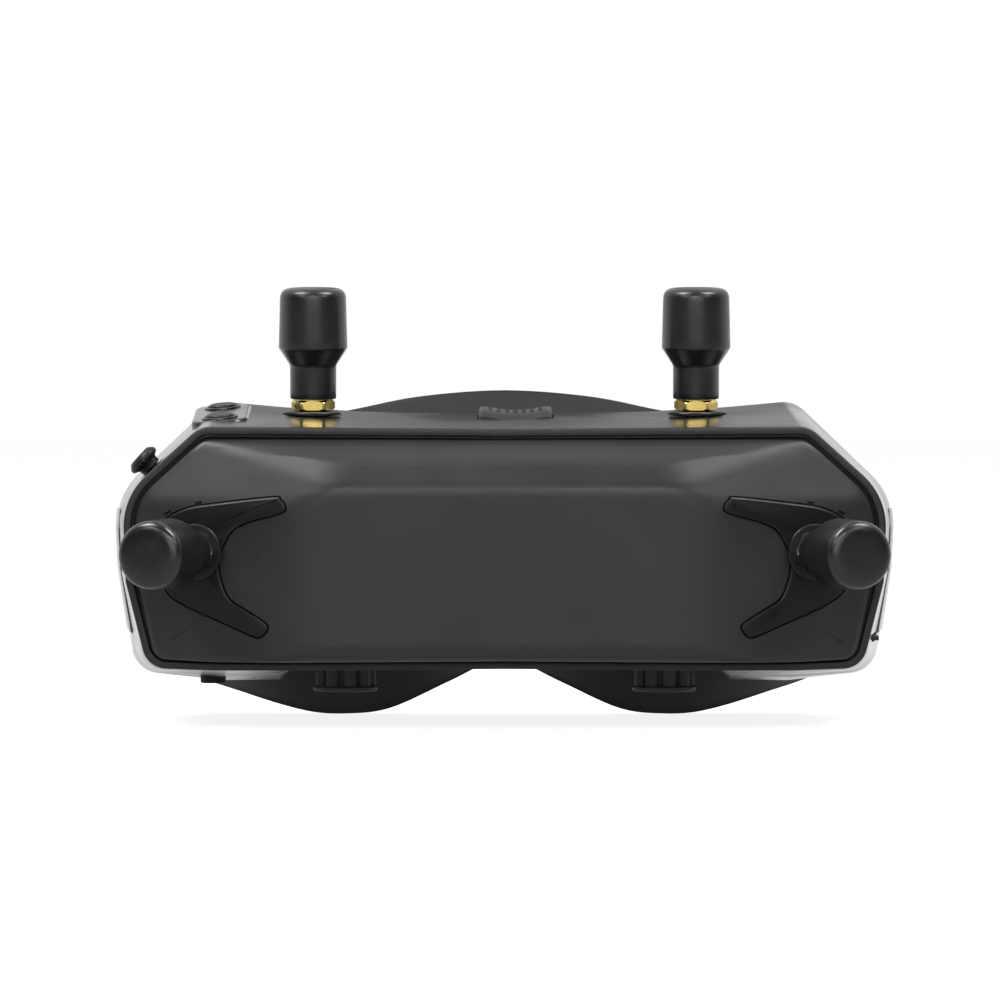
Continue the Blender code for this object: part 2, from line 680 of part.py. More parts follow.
def focus_knob(name, sign):
    place = frame_on(at(sign * EYE_X, PINION_DEPTH, 0), (0, 0, 1))
    made = turned(name, [
        (0, 22), (1.6, 22), (1.6, 11.0), (6.3, 11.0), (6.3, 7.1), (6.6, 6.7), (6.6, 6.2),
        (6.2, 5.9), (0, 5.9),
    ], RUBBER, place, 27)
    for k in range(KNOB_FLUTES):
        flute = rod("flute", 0.95, 7.1, 13, 6)
        around = Matrix.Rotation((k + 0.5) * 2 * math.pi / KNOB_FLUTES, 4, "Z")
        spot = place @ around @ Matrix.Translation((6.5 * MM, 0, 0))
        cut(made, tool(f"{name}_flute_{k}", flute, spot))
    teeth = loft("pinion", [pinion_ring(sign, 15), pinion_ring(sign, 19)], closed_ends=True)
    fuse(made, tool(name + "_pinion", teeth))


def eyepiece(name, sign):
    place = frame_on(at(sign * EYE_X, 0, EYE_Z), (0, 1, 0))
    turned(name, [
        (0, 39.4), (6.5, 39.0), (12.2, 37.4), (12.4, 37.0), (12.4, 34.0), (6.5, 35.0), (0, 35.4),
    ], GLASS, place, 20)


def display(name, sign):
    low, high = across(sign, -18, 18)
    back = DISPLAY_DEPTH + DISPLAY_THICK
    made = add(name, box(name, (low, DISPLAY_DEPTH, 21), (high, back, 54)), BOARD)
    low, high = across(sign, -11, 11)
    fuse(made, tool(name + "_panel", box("panel", (low, back - 0.7, 31), (high, back + 1.6, 44))))


sided("carriage", carriage)
sided("lens_barrel", barrel)
sided("focus_knob", focus_knob)
sided("eyepiece_lens", eyepiece)
sided("display_board", display)
for side, sign in (("left", -1), ("right", 1)):
    low, high = across(sign, -6.3, 5.3)
    slot = box("knob_slot", (low, PINION_DEPTH - 2.0, 8), (high, PINION_DEPTH + 2.0, 16))
    cut(main_housing, tool("knob_slot_" + side, slot))


# ---------------------------------------------------------------- electronics, fan and vent

add("main_board", box("main_board", (-50, -3, 18), (50, -1.4, 48)), BOARD)
heat_sink = add("heat_sink", box("heat_sink", (-18, -9, 24), (18, -3.3, 44)), ALUMINIUM)
for k in range(8):
    x = -15.75 + 4.5 * k
    cut(heat_sink, tool(f"fin_gap_{k}", box("fin_gap", (x - 1.2, -10, 20), (x + 1.2, -4.8, 48))))

VENT_X = 2.2
FAN_MIDDLE = (VENT_X, 32.5, 54.5)
fan_frame = frame_on(at(*FAN_MIDDLE), (0, 0, 1))
fan_box = box("fan_housing", (VENT_X - 8.2, 24.3, 52), (VENT_X + 8.2, 40.7, 57))
fan_housing = add("fan_housing", fan_box, MATTE)
cut(fan_housing, tool("fan_bore", rod("fan_bore", 7.3, -1.5, 5, 32), fan_frame))
for k in range(4):
    angle = math.pi / 4 + k * math.pi / 2
    place = (VENT_X + 4.6 * math.cos(angle), FAN_MIDDLE[1] + 4.6 * math.sin(angle))
    opening = rod("opening", 2.0, -6, 3, 12)
    cut(fan_housing, tool(f"fan_inlet_{k}", opening, frame_on(at(*place, FAN_MIDDLE[2]), (0, 0, 1))))
fan_rotor = turned("fan_rotor", [(0, 1.9), (3.0, 1.9), (3.2, 1.7), (3.2, -1.2), (0, -1.2)],
                   MATTE, fan_frame, 20)
for k in range(7):
    turn = Matrix.Rotation(2 * math.pi * k / 7, 4, "Z") @ Matrix.Translation((4.9 * MM, 0, 0.35 * MM))
    blade = bmesh.new()
    bmesh.ops.create_cube(blade, size=1, matrix=fan_frame @ turn @ Matrix.Rotation(math.radians(35), 4, "X")
                          @ Matrix.Diagonal((4.0 * MM, 2.6 * MM, 0.7 * MM, 1)))
    fuse(fan_rotor, tool(f"blade_{k}", from_bmesh("blade", blade)))

def vent_section(rise):
    """The cowl's outline seen from the front: two bumps at its ends, with a shallow dish between them."""
    half = [(-7.5, 60.4), (-7.3, 61.5 + rise), (-5.9, 61.6 + rise), (-3.4, 61.2 + rise), (0, 60.95 + rise)]
    return half + [(-x, z) for x, z in reversed(half[:-1])]


vent = add("vent_scoop", loft("vent_scoop", [
    [at(VENT_X + x, depth, z) for x, z in reversed(vent_section(rise))]
    for depth, rise in ((30.0, 0.4), (32.0, 1.5), (40.2, 2.3))
], closed_ends=True), MATTE)
for row in range(2):
    for k in range(4):
        grille = rod("grille", 0.9, -4, 8, 8)
        spot = frame_on(at(VENT_X - 4.2 + 2.8 * k, 35.3 + 3.2 * row, 60), (0, 0, 1))
        cut(vent, tool(f"vent_hole_{row}_{k}", grille, spot))
opening = box("vent_opening", (VENT_X - 7.8, 29.7, 55), (VENT_X + 7.8, 40.5, 70))
cut(main_housing, tool("vent_opening", opening))


# ---------------------------------------------------------------- memory card and power jack

CARD_Z = 17.3
CARD_DEPTH = (14, 25)
CARD_THICK = 1.0
front, back = CARD_DEPTH
bottom, top = CARD_Z - CARD_THICK / 2, CARD_Z + CARD_THICK / 2
add("memory_card", box("memory_card", (61.0, front, bottom), (75.6, back, top)), MATTE)
socket = add("card_socket", box("card_socket", (59.4, front - 1.5, 16), (70, back + 1.5, 18.6)), STEEL)
way = tool("card_way", box("card_way", (60.4, front - GAP, bottom - GAP), (82, back + GAP, top + GAP)))
cut(socket, way)
cut(main_housing, way)

JACK_SPOT = (-59.6, 33, 8.3)
plug_frame = frame_on(at(*JACK_SPOT), (0, 0, -1))
turned("port_plug", [(0, 0.9), (2.2, 0.9), (2.6, 0.5), (2.6, -0.9), (1.7, -0.9), (1.7, -4.2), (0, -4.2)],
       RUBBER, plug_frame, 14)
turned("power_jack", [(2.1, -3.5), (3.4, -3.5), (3.4, -9), (0, -9), (0, -6), (2.1, -6)],
       STEEL, plug_frame, 12)
cut(main_housing, tool("plug_well", rod("plug_well", 2.9, -1.3, 5, 20), plug_frame))
cut(main_housing, tool("plug_hole", rod("plug_hole", 2.1, -6, 5, 20), plug_frame))
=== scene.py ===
"""Looks of the FPV goggles: every shell, knob, aerial and pad in its finished shape and material."""

import json
import math

import bmesh
import bpy
from mathutils import Matrix, Vector


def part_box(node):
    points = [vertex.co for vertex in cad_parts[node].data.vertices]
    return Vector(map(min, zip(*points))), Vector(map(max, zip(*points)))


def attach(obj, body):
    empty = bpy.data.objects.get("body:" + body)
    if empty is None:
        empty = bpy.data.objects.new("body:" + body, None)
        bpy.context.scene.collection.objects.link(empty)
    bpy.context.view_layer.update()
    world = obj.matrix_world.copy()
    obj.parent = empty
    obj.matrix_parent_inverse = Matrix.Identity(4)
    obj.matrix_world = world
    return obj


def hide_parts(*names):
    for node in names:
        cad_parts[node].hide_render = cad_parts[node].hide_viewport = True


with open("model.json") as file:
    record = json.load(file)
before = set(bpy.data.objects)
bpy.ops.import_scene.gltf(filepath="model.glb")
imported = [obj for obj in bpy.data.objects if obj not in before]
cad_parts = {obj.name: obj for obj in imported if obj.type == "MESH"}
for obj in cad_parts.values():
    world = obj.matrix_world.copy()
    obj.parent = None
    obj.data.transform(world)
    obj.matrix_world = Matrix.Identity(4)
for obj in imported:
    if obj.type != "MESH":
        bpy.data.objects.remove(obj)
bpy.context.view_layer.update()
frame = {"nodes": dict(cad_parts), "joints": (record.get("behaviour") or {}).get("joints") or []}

# ---------------------------------------------------------------- View, floor and light
# A product shot on a pale floor: the goggles are seen level from in front with a long lens. White walls
# behind and beside them make the bright bands on the glossy shell. The room in front is dim, apart from soft
# boxes for the panel, its upper fold, its slopes and its shoulders.

MM = 0.001
BEZEL_PROUD = 1.0
LIP_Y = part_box("front_bezel")[0].y / MM + BEZEL_PROUD     # depth 0, the plane of the front lip


def at(x, depth, z):
    """A point in metres from its place in millimetres; depth counts back from the front lip."""
    return Vector((x, LIP_Y + depth, z)) * MM


SIGHT = at(-0.94, 0, 45.4)
CAMERA_REACH = 1.5
CAMERA_RISE = math.radians(1.0)
camera_data = bpy.data.cameras.new("camera")
camera_data.sensor_width = 36
camera_data.lens = 270
camera_data.clip_start = 0.01
camera = bpy.data.objects.new("camera", camera_data)
bpy.context.scene.collection.objects.link(camera)
camera.location = SIGHT + CAMERA_REACH * Vector((0, -math.cos(CAMERA_RISE), math.sin(CAMERA_RISE)))
camera.rotation_euler = (math.pi / 2 - CAMERA_RISE, 0, 0)
bpy.context.scene.camera = camera
bpy.context.scene.view_settings.view_transform = "Standard"

def node(tree, kind, inputs=None, **settings):
    """A shader node with its settings made and its inputs set or linked, by socket name or number."""
    made = tree.nodes.new(kind)
    for label, value in settings.items():
        setattr(made, label, value)
    for label, value in (inputs or {}).items():
        socket = made.inputs[label]
        if isinstance(value, bpy.types.NodeSocket):
            tree.links.new(value, socket)
        else:
            socket.default_value = value
    return made


FLOOR_HALF = 6.0
FLOOR_DROP = 0.0002            # the floor lies a hair under the goggles
floor_mesh = bpy.data.meshes.new("floor")
floor_mesh.from_pydata([(x * FLOOR_HALF, y * FLOOR_HALF, -FLOOR_DROP)
                        for x, y in ((-1, -1), (1, -1), (1, 1), (-1, 1))], [], [(0, 1, 2, 3)])
floor = bpy.data.objects.new("floor", floor_mesh)
bpy.context.scene.collection.objects.link(floor)
floor_material = bpy.data.materials.new("pale_floor")
floor_material.use_nodes = True
floor_shader = floor_material.node_tree.nodes["Principled BSDF"]
floor_shader.inputs["Base Color"].default_value = (0.3, 0.3, 0.3, 1)
floor_shader.inputs["Roughness"].default_value = 0.9
floor_shader.inputs["Specular IOR Level"].default_value = 0.0
floor_shader.inputs["Emission Color"].default_value = (1, 1, 1, 1)
floor_tree = floor_material.node_tree
floor_place = node(floor_tree, "ShaderNodeTexCoord")
floor_split = node(floor_tree, "ShaderNodeSeparateXYZ", {"Vector": floor_place.outputs["Object"]})
floor_back = node(floor_tree, "ShaderNodeMapRange", {
    "Value": floor_split.outputs["Y"], "From Min": -0.25, "From Max": 0.35, "To Min": 0.06, "To Max": 0.75},
    interpolation_type="SMOOTHSTEP")
floor_seen = node(floor_tree, "ShaderNodeLightPath")
floor_light = node(floor_tree, "ShaderNodeMix", {
    "Factor": floor_seen.outputs["Is Camera Ray"], "A": floor_back.outputs["Result"], "B": 0.85})
floor_tree.links.new(floor_light.outputs["Result"], floor_shader.inputs["Emission Strength"])
floor_mesh.materials.append(floor_material)

world = bpy.data.worlds.new("studio")
bpy.context.scene.world = world
world.use_nodes = True
sky = world.node_tree
sky.nodes.clear()
direction = node(sky, "ShaderNodeTexCoord")
split = node(sky, "ShaderNodeSeparateXYZ", {"Vector": direction.outputs["Generated"]})
backness = node(sky, "ShaderNodeMapRange", {
    "Value": split.outputs["Y"], "From Min": -0.3, "From Max": 0.4, "To Min": 0.03, "To Max": 1.0},
    interpolation_type="SMOOTHSTEP")
sideness = node(sky, "ShaderNodeMath", {0: split.outputs["X"]}, operation="ABSOLUTE")
middle_dim = node(sky, "ShaderNodeMapRange", {
    "Value": sideness.outputs["Value"], "From Min": 0.0, "From Max": 0.075, "To Min": 0.25, "To Max": 1.0},
    interpolation_type="SMOOTHSTEP")
level = node(sky, "ShaderNodeMath", {0: backness.outputs["Result"], 1: middle_dim.outputs["Result"]},
             operation="MULTIPLY")
seen = node(sky, "ShaderNodeLightPath")
strength = node(sky, "ShaderNodeMix", {"Factor": seen.outputs["Is Camera Ray"], "A": level.outputs["Value"],
                                       "B": 1.0})
walls = node(sky, "ShaderNodeBackground", {"Color": (1, 1, 1, 1), "Strength": strength.outputs["Result"]})
node(sky, "ShaderNodeOutputWorld", {"Surface": walls.outputs["Background"]})


def softbox(name, place, size, power):
    """A rectangular light aimed at the goggles."""
    lamp = bpy.data.lights.new(name, "AREA")
    lamp.shape = "RECTANGLE"
    lamp.size, lamp.size_y = size
    lamp.energy = power
    made = bpy.data.objects.new(name, lamp)
    bpy.context.scene.collection.objects.link(made)
    made.location = place
    made.rotation_euler = (Vector((0, 0, 0.04)) - made.location).to_track_quat("-Z", "Y").to_euler()


softbox("front_box", Vector((0, -1.1, 0.27)), (1.0, 0.34), 3.3)
softbox("fold_box", Vector((0, -0.95, 0.6)), (0.6, 0.12), 3.0)
for name, side, share in (("left", -1, 1.0), ("right", 1, 0.85)):
    softbox(f"upper_{name}_box", Vector((side * 0.58, -0.15, 1.15)), (0.45, 0.5), 15.0 * share)
    softbox(f"shoulder_{name}_box", Vector((side * 0.62, -0.7, 0.68)), (0.3, 0.25), 2.2 * share)


# ---------------------------------------------------------------- Main housing
# The shell that everything hangs on, injection moulded in glossy black plastic and open at both ends. Its top
# has flats for the aerials and a raised pad for the buttons, and its sides have recesses for the strap lugs.

GAP = 0.3
HOUSING_FRONT, HOUSING_REAR = 1.5, 42.0
HOUSING_WALL = 2.6
# Half outlines from the top middle to the bottom middle: x, z and corner radius
LIP = [
    (0, 59.6, 0), (30, 59.8, 0), (45, 59.9, 0), (61, 60, 5), (76.5, 46, 14), (75.8, 29, 0),
    (71.5, 11.8, 5), (58, 11.3, 0), (46, 11.3, 0), (42, 11.3, 0), (0, 11.6, 0),
]
REAR = [
    (0, 62.1, 0), (30, 62.9, 0), (45, 63.7, 0), (59.5, 65, 6), (80, 45.5, 14), (79.3, 31, 0),
    (76, 9.5, 6), (58, 7.6, 0), (46, 7.7, 0), (42, 11.5, 0), (0, 11.5, 0),
]


def eased(points, steps=8, closed=False):
    """A line through points given as x, y and corner radius, with its corners turned into arcs."""
    made = []
    count = len(points)
    for i, (x, y, radius) in enumerate(points):
        corner = Vector((x, y))
        if not radius or (not closed and i in (0, count - 1)):
            made.append(corner)
            continue
        back = (Vector(points[i - 1][:2]) - corner).normalized()
        ahead = (Vector(points[(i + 1) % count][:2]) - corner).normalized()
        half_angle = back.angle(ahead) / 2
        centre = corner + (back + ahead).normalized() * radius / math.sin(half_angle)
        start = corner + back * radius / math.tan(half_angle) - centre
        end = corner + ahead * radius / math.tan(half_angle) - centre
        sweep = start.angle_signed(end)
        made += [centre + Matrix.Rotation(-sweep * k / steps, 2) @ start for k in range(steps + 1)]
    return made


def both_sides(right):
    """A whole outline from its right half."""
    return right + [Vector((-p.x, p.y)) for p in reversed(right[1:-1])]


def inset(outline, distance):
    """A clockwise outline moved inwards by distance."""
    count = len(outline)
    moved = []
    for i in range(count):
        before = (outline[i] - outline[i - 1]).normalized()
        after = (outline[(i + 1) % count] - outline[i]).normalized()
        side_a = Vector((before.y, -before.x))
        normal = (side_a + Vector((after.y, -after.x))).normalized()
        moved.append(outline[i] + normal * distance / max(0.5, normal.dot(side_a)))
    return moved


def ring_at(outline, depth):
    return [at(p.x, depth, p.y) for p in outline]


def loft(rings, capped=False):
    """A bmesh of faces between rings; the last ring joins the first unless the two ends are capped."""
    shape = bmesh.new()
    rows = [[shape.verts.new(point) for point in ring] for ring in rings]
    pairs = list(zip(rows, rows[1:])) + ([] if capped else [(rows[-1], rows[0])])
    for low, high in pairs:
        for i in range(len(low)):
            j = (i + 1) % len(low)
            shape.faces.new((low[i], low[j], high[j], high[i]))
    if capped:
        shape.faces.new(rows[0])
        shape.faces.new(rows[-1])
    bmesh.ops.recalc_face_normals(shape, faces=shape.faces)
    return shape


def block(low, high):
    """A bmesh block between two corners given as x, depth, z."""
    shape = bmesh.new()
    size, middle = at(*high) - at(*low), (at(*high) + at(*low)) / 2
    bmesh.ops.create_cube(shape, size=1, matrix=Matrix.Translation(middle) @ Matrix.Diagonal((*size, 1)))
    return shape


def frame_on(origin, axis):
    """A matrix whose local Z runs along axis, and local X as near to world X as it can."""
    z = Vector(axis).normalized()
    x = Vector((0, 1, 0)) if abs(z.x) > 0.9 else Vector((1, 0, 0))
    y = z.cross(x).normalized()
    return Matrix.Translation(origin) @ Matrix((y.cross(z), y, z)).transposed().to_4x4()


def turned(profile, place, steps=48):
    """A bmesh of a profile of radius and height in millimetres, turned about the local Z of place."""
    shape = bmesh.new()
    columns = []
    for r, a in profile:
        if r < 1e-6:
            columns.append([shape.verts.new(place @ Vector((0, 0, a * MM)))])
            continue
        turn = [2 * math.pi * k / steps for k in range(steps)]
        columns.append([shape.verts.new(place @ (Vector((r * math.cos(t), r * math.sin(t), a)) * MM))
                        for t in turn])
    if profile[0][0] > 1e-6:
        columns.append(columns[0])
    for first, second in zip(columns, columns[1:]):
        for k in range(steps):
            j = (k + 1) % steps
            corners = [first[k % len(first)], second[k % len(second)],
                       second[j % len(second)], first[j % len(first)]]
            face = list(dict.fromkeys(corners))
            if len(face) > 2:
                shape.faces.new(face)
    bmesh.ops.recalc_face_normals(shape, faces=shape.faces)
    return shape


def add(name, shape, smooth_below=35):
    """An object from a bmesh, shaded smooth where its faces meet at less than that angle."""
    mesh = bpy.data.meshes.new(name)
    shape.to_mesh(mesh)
    shape.free()
    made = bpy.data.objects.new(name, mesh)
    bpy.context.scene.collection.objects.link(made)
    mesh.shade_smooth()
    mesh.set_sharp_from_angle(angle=math.radians(smooth_below))
    return made


def join(target, kind, *shapes):
    """Cuts the bmesh shapes from the target, or fuses them to it, and applies the result."""
    for shape in shapes:
        helper = add("helper", shape)
        step = target.modifiers.new("step", "BOOLEAN")
        step.operation = kind
        step.solver = "MANIFOLD"
        step.object = helper
        apply_modifiers(target)
        bpy.data.objects.remove(helper)


def apply_modifiers(target, smooth_below=35):
    """Turns the evaluated shape of the target into its plain mesh."""
    graph = bpy.context.evaluated_depsgraph_get()
    graph.update()
    mesh = bpy.data.meshes.new_from_object(target.evaluated_get(graph))
    target.modifiers.clear()
    target.data = mesh
    mesh.shade_smooth()
    mesh.set_sharp_from_angle(angle=math.radians(smooth_below))


def settle_shading(target):
    """Evens out the shading that cuts leave on broad faces: large faces lead, sharp edges stay."""
    step = target.modifiers.new("shading", "WEIGHTED_NORMAL")
    step.keep_sharp = True
    step.weight = 80
    graph = bpy.context.evaluated_depsgraph_get()
    graph.update()
    mesh = bpy.data.meshes.new_from_object(target.evaluated_get(graph))
    target.modifiers.clear()
    target.data = mesh


def bevel(target, width, segments=3, angle=35):
    """Rounds the target's sharp edges by a width in millimetres, and applies it."""
    step = target.modifiers.new("bevel", "BEVEL")
    step.width = width * MM
    step.segments = segments
    step.limit_method = "ANGLE"
    step.angle_limit = math.radians(angle)
    apply_modifiers(target)


def dress(piece, material, body, slot, *nodes):
    """Gives a finished piece its material and the CAD body it rides on, and hides the nodes it stands for;
    slot is not used.
    """
    piece.data.materials.clear()
    piece.data.materials.append(material)
    piece.data.polygons.foreach_set("material_index", [0] * len(piece.data.polygons))
    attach(piece, body)
    if nodes:
        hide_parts(*nodes)
    return piece


def hole(radius, low, high, place, rim=0.25, mouth=0.0, steps=48):
    """A cutter for a round hole that gets a small chamfer of width rim at height mouth."""
    return turned([(0, high), (radius + rim, high), (radius + rim, mouth), (radius, mouth - rim - 0.001),
                   (radius, low), (0, low)], place, steps)


lip_outline = both_sides(eased(LIP, 12))
rear_outline = both_sides(eased(REAR, 12))


def housing_ring(depth, inwards):
    share = (depth - HOUSING_FRONT) / (HOUSING_REAR - HOUSING_FRONT)
    outline = [a.lerp(b, share) for a, b in zip(lip_outline, rear_outline)]
    return ring_at(inset(outline, inwards), depth)


outer = [(1.5, 0.55), (1.55, 0.3), (1.7, 0.12), (2.0, 0.0)]
outer += [(2.0 + 4.375 * k, 0.0) for k in range(1, 9)]
outer += [(41.5, 0.0), (41.8, 0.12), (41.95, 0.3), (42.0, 0.55)]
inner = [(42.0, HOUSING_WALL - 0.3), (41.7, HOUSING_WALL), (22, HOUSING_WALL), (1.8, HOUSING_WALL),
         (1.5, HOUSING_WALL - 0.3)]
main_housing = add("main_housing_shell", loft([housing_ring(d, i) for d, i in outer + inner]))

joint_of = {joint["name"]: joint for joint in frame["joints"]}


def seat_of(aerial):
    """The frame of an aerial's seat: its origin on the seat's face, local Z along the aerial."""
    turn = joint_of[f"nut_{aerial}_turn"]
    return frame_on(Vector(turn["pos_m"]), turn["axis"])


JACK_R = 3.1
SEAT_WALL = 3.2
BOSS_R, SPOT_FACE_R = 7.4, 6.2
PAD_NORMAL = -Vector(joint_of["button_front_press"]["axis"])
BUTTON_RISE = 0.8             # how far a button's face stands over the pad


def on_pad(node):
    """The frame of a button: on the pad, under the button's face."""
    low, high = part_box(node)
    top = max((vertex.co for vertex in frame["nodes"][node].data.vertices), key=lambda co: co.dot(PAD_NORMAL))
    middle = (low + high) / 2
    height = top.dot(PAD_NORMAL) - BUTTON_RISE * MM - middle.dot(PAD_NORMAL)
    return frame_on(middle + PAD_NORMAL * height, PAD_NORMAL)


stick_turn = joint_of["joystick_tilt_up"]
STICK_AXIS = -Vector(joint_of["joystick_press"]["axis"])
PIVOT_BELOW = 2.0
stick_frame = frame_on(Vector(stick_turn["pos_m"]) + STICK_AXIS * PIVOT_BELOW * MM, STICK_AXIS)

for aerial in ("top_left", "top_right"):
    seat = seat_of(aerial)
    boss_end = -SEAT_WALL - GAP
    join(main_housing, "UNION", turned([(0, -1), (BOSS_R, -1), (BOSS_R, boss_end), (0, boss_end)], seat))
    spot_face = [(0, 5), (SPOT_FACE_R, 5), (SPOT_FACE_R, -GAP), (0, -GAP)]
    join(main_housing, "DIFFERENCE", turned(spot_face, seat, 64),
         hole(JACK_R + GAP, -12, 3, seat, 0.25, -GAP))

PAD_SIZE = (11.5, 27.0, 3.0)
pad_place = on_pad("button_front").lerp(on_pad("button_rear"), 0.5)
pad_outline = eased([(x * PAD_SIZE[0] / 2, y * PAD_SIZE[1] / 2, 4.0)
                     for x, y in ((-1, -1), (1, -1), (1, 1), (-1, 1))], 10, closed=True)


def pad_ring(shrink, height):
    return [pad_place @ (Vector((p.x * (1 - shrink / 5.75), p.y * (1 - shrink / 13.5), height)) * MM)
            for p in pad_outline]


join(main_housing, "UNION", loft([pad_ring(0, -PAD_SIZE[2]), pad_ring(0, -0.6), pad_ring(0.1, -0.3),
                                  pad_ring(0.3, -0.1), pad_ring(0.6, 0)], capped=True))
for button in ("button_front", "button_rear"):
    join(main_housing, "UNION", turned([
        (0, 0.35), (3.5, 0.35), (3.68, 0.28), (3.75, 0.1), (3.75, -1.5), (0, -1.5)], on_pad(button), 64))
    join(main_housing, "DIFFERENCE", hole(2.8 + GAP, -2.2, 3, on_pad(button), 0.15, 0.35),
         hole(2.3, -9, 0, on_pad(button), 0))
join(main_housing, "DIFFERENCE", hole(3.0, -9, 4, stick_frame, 0.4), hole(4.4, -9, -0.7, stick_frame, 0))

LUG_THICK = 1.6
LUG_SECTIONS = {
    27.0: [(78.3, 43), (78.6, 39), (78.3, 31), (76.1, 18)],
    42.0: [(79.7, 43), (79.95, 39), (79.6, 31), (77.7, 18)],
    58.0: [(79.7, 43), (79.95, 39), (79.6, 31), (77.7, 18)],
}


def lug_shape(sign, grow=0.0):
    rings = []
    for depth, outer_points in LUG_SECTIONS.items():
        depth += {27.0: -grow, 58.0: grow}.get(depth, 0)
        ends = (grow, 0, 0, -grow)
        ring = [at(sign * (x + grow * 9), depth, z + end) for (x, z), end in zip(outer_points, ends)]
        ring += [at(sign * (x - LUG_THICK - grow), depth, z + end)
                 for (x, z), end in reversed(list(zip(outer_points, ends)))]
        rings.append(ring)
    return loft(rings, capped=True)


eye_middles = {side: (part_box("eyepiece_lens_" + side)[0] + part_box("eyepiece_lens_" + side)[1]) / 2
               for side in ("left", "right")}
PINION_DEPTH = Vector(joint_of["focus_turn_left"]["pos_m"]).y / MM - LIP_Y
for side, sign in (("left", -1), ("right", 1)):
    join(main_housing, "DIFFERENCE", lug_shape(sign, GAP))
    middle = eye_middles[side].x / MM
    ends = sorted((middle - sign * 6.3, middle + sign * 5.3))
    join(main_housing, "DIFFERENCE",
         block((ends[0], PINION_DEPTH - 2, 8), (ends[1], PINION_DEPTH + 2, 16)))
scoop_low, scoop_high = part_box("vent_scoop")
VENT_X = (scoop_low.x + scoop_high.x) / 2 / MM
join(main_housing, "DIFFERENCE", block((VENT_X - 7.8, 29.7, 55), (VENT_X + 7.8, 40.5, 70)))
card_low, card_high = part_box("memory_card")
CARD_Z = (card_low.z + card_high.z) / 2 / MM
card_front, card_back = card_low.y / MM - LIP_Y, card_high.y / MM - LIP_Y
join(main_housing, "DIFFERENCE",
     block((66, card_front - GAP, CARD_Z - 0.8), (82, card_back + GAP, CARD_Z + 0.8)),
     block((74.4, card_front - 3, CARD_Z - 1.0), (84, card_back + 3, CARD_Z + 1.0)))
plug_low, plug_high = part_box("port_plug")
PLUG_RISE = 0.9
plug_frame = frame_on(Vector(((plug_low.x + plug_high.x) / 2, (plug_low.y + plug_high.y) / 2,
                              plug_low.z + PLUG_RISE * MM)), (0, 0, -1))
join(main_housing, "DIFFERENCE", hole(2.9, -1.3, 3, plug_frame, 0.2), hole(2.1, -6, 0, plug_frame, 0),
     turned([(8.4, 3), (8.4, -0.35), (8.65, -0.35), (8.65, 3)], plug_frame, 64))


def new_group(name, inputs, outputs):
    """An empty shader node group; inputs are name and default, outputs are name and socket type."""
    group = bpy.data.node_groups.new(name, "ShaderNodeTree")
    for label, value in inputs:
        kind = "NodeSocketColor" if isinstance(value, tuple) else "NodeSocketFloat"
        socket = group.interface.new_socket(label, in_out="INPUT", socket_type=kind)
        socket.default_value = value
    for label, kind in outputs:
        group.interface.new_socket(label, in_out="OUTPUT", socket_type=kind)
    return group, group.nodes.new("NodeGroupInput"), group.nodes.new("NodeGroupOutput")


# Moulded grain: the fine pebbled texture of a spark-eroded mould.
grain, grain_in, grain_out = new_group(
    "moulded_grain", [("Scale", 2600.0), ("Unevenness", 0.5)],
    [("Height", "NodeSocketFloat"), ("Mottle", "NodeSocketFloat")])
place_node = node(grain, "ShaderNodeTexCoord")
pebbles = node(grain, "ShaderNodeTexVoronoi", {"Vector": place_node.outputs["Object"],
                                               "Scale": grain_in.outputs["Scale"]}, feature="SMOOTH_F1")
cloud = node(grain, "ShaderNodeTexNoise", {"Vector": place_node.outputs["Object"], "Scale": 60.0,
                                           "Detail": 4.0})
uneven = node(grain, "ShaderNodeMath", {0: cloud.outputs["Fac"], 1: grain_in.outputs["Unevenness"]},
              operation="MULTIPLY")
height = node(grain, "ShaderNodeMath", {0: pebbles.outputs["Distance"], 1: uneven.outputs[0]},
              operation="ADD")
grain.links.new(height.outputs[0], grain_out.inputs["Height"])
grain.links.new(cloud.outputs["Fac"], grain_out.inputs["Mottle"])

# Handling: smudges, fine scratches and rubbed edges, as a mask and a value for the roughness.
handling, handling_in, handling_out = new_group(
    "handling", [("Smudge Scale", 35.0), ("Edge Rub", 0.5)],
    [("Smudge", "NodeSocketFloat"), ("Rub", "NodeSocketFloat"), ("Scratch", "NodeSocketFloat")])
place_node = node(handling, "ShaderNodeTexCoord")
smear = node(handling, "ShaderNodeTexNoise", {"Vector": place_node.outputs["Object"],
                                              "Scale": handling_in.outputs["Smudge Scale"],
                                              "Detail": 5.0, "Distortion": 1.2})
smudge = node(handling, "ShaderNodeMapRange", {"Value": smear.outputs["Fac"], "From Min": 0.45,
                                               "From Max": 0.7})
edges = node(handling, "ShaderNodeNewGeometry")
crest = node(handling, "ShaderNodeMapRange", {"Value": edges.outputs["Pointiness"], "From Min": 0.52,
                                              "From Max": 0.6})
broken = node(handling, "ShaderNodeTexNoise", {"Vector": place_node.outputs["Object"], "Scale": 420.0,
                                               "Detail": 3.0})
worn = node(handling, "ShaderNodeMath", {0: crest.outputs["Result"], 1: broken.outputs["Fac"]},
            operation="MULTIPLY")
rub = node(handling, "ShaderNodeMath", {0: worn.outputs[0], 1: handling_in.outputs["Edge Rub"]},
           operation="MULTIPLY")
stretch = node(handling, "ShaderNodeMapping", {"Vector": place_node.outputs["Object"],
                                               "Rotation": (0.2, 0.3, 0.6), "Scale": (1.0, 24.0, 7.0)})
lines = node(handling, "ShaderNodeTexNoise", {"Vector": stretch.outputs["Vector"], "Scale": 90.0,
                                              "Detail": 2.0})
scratch = node(handling, "ShaderNodeMapRange", {"Value": lines.outputs["Fac"], "From Min": 0.66,
                                                "From Max": 0.74})
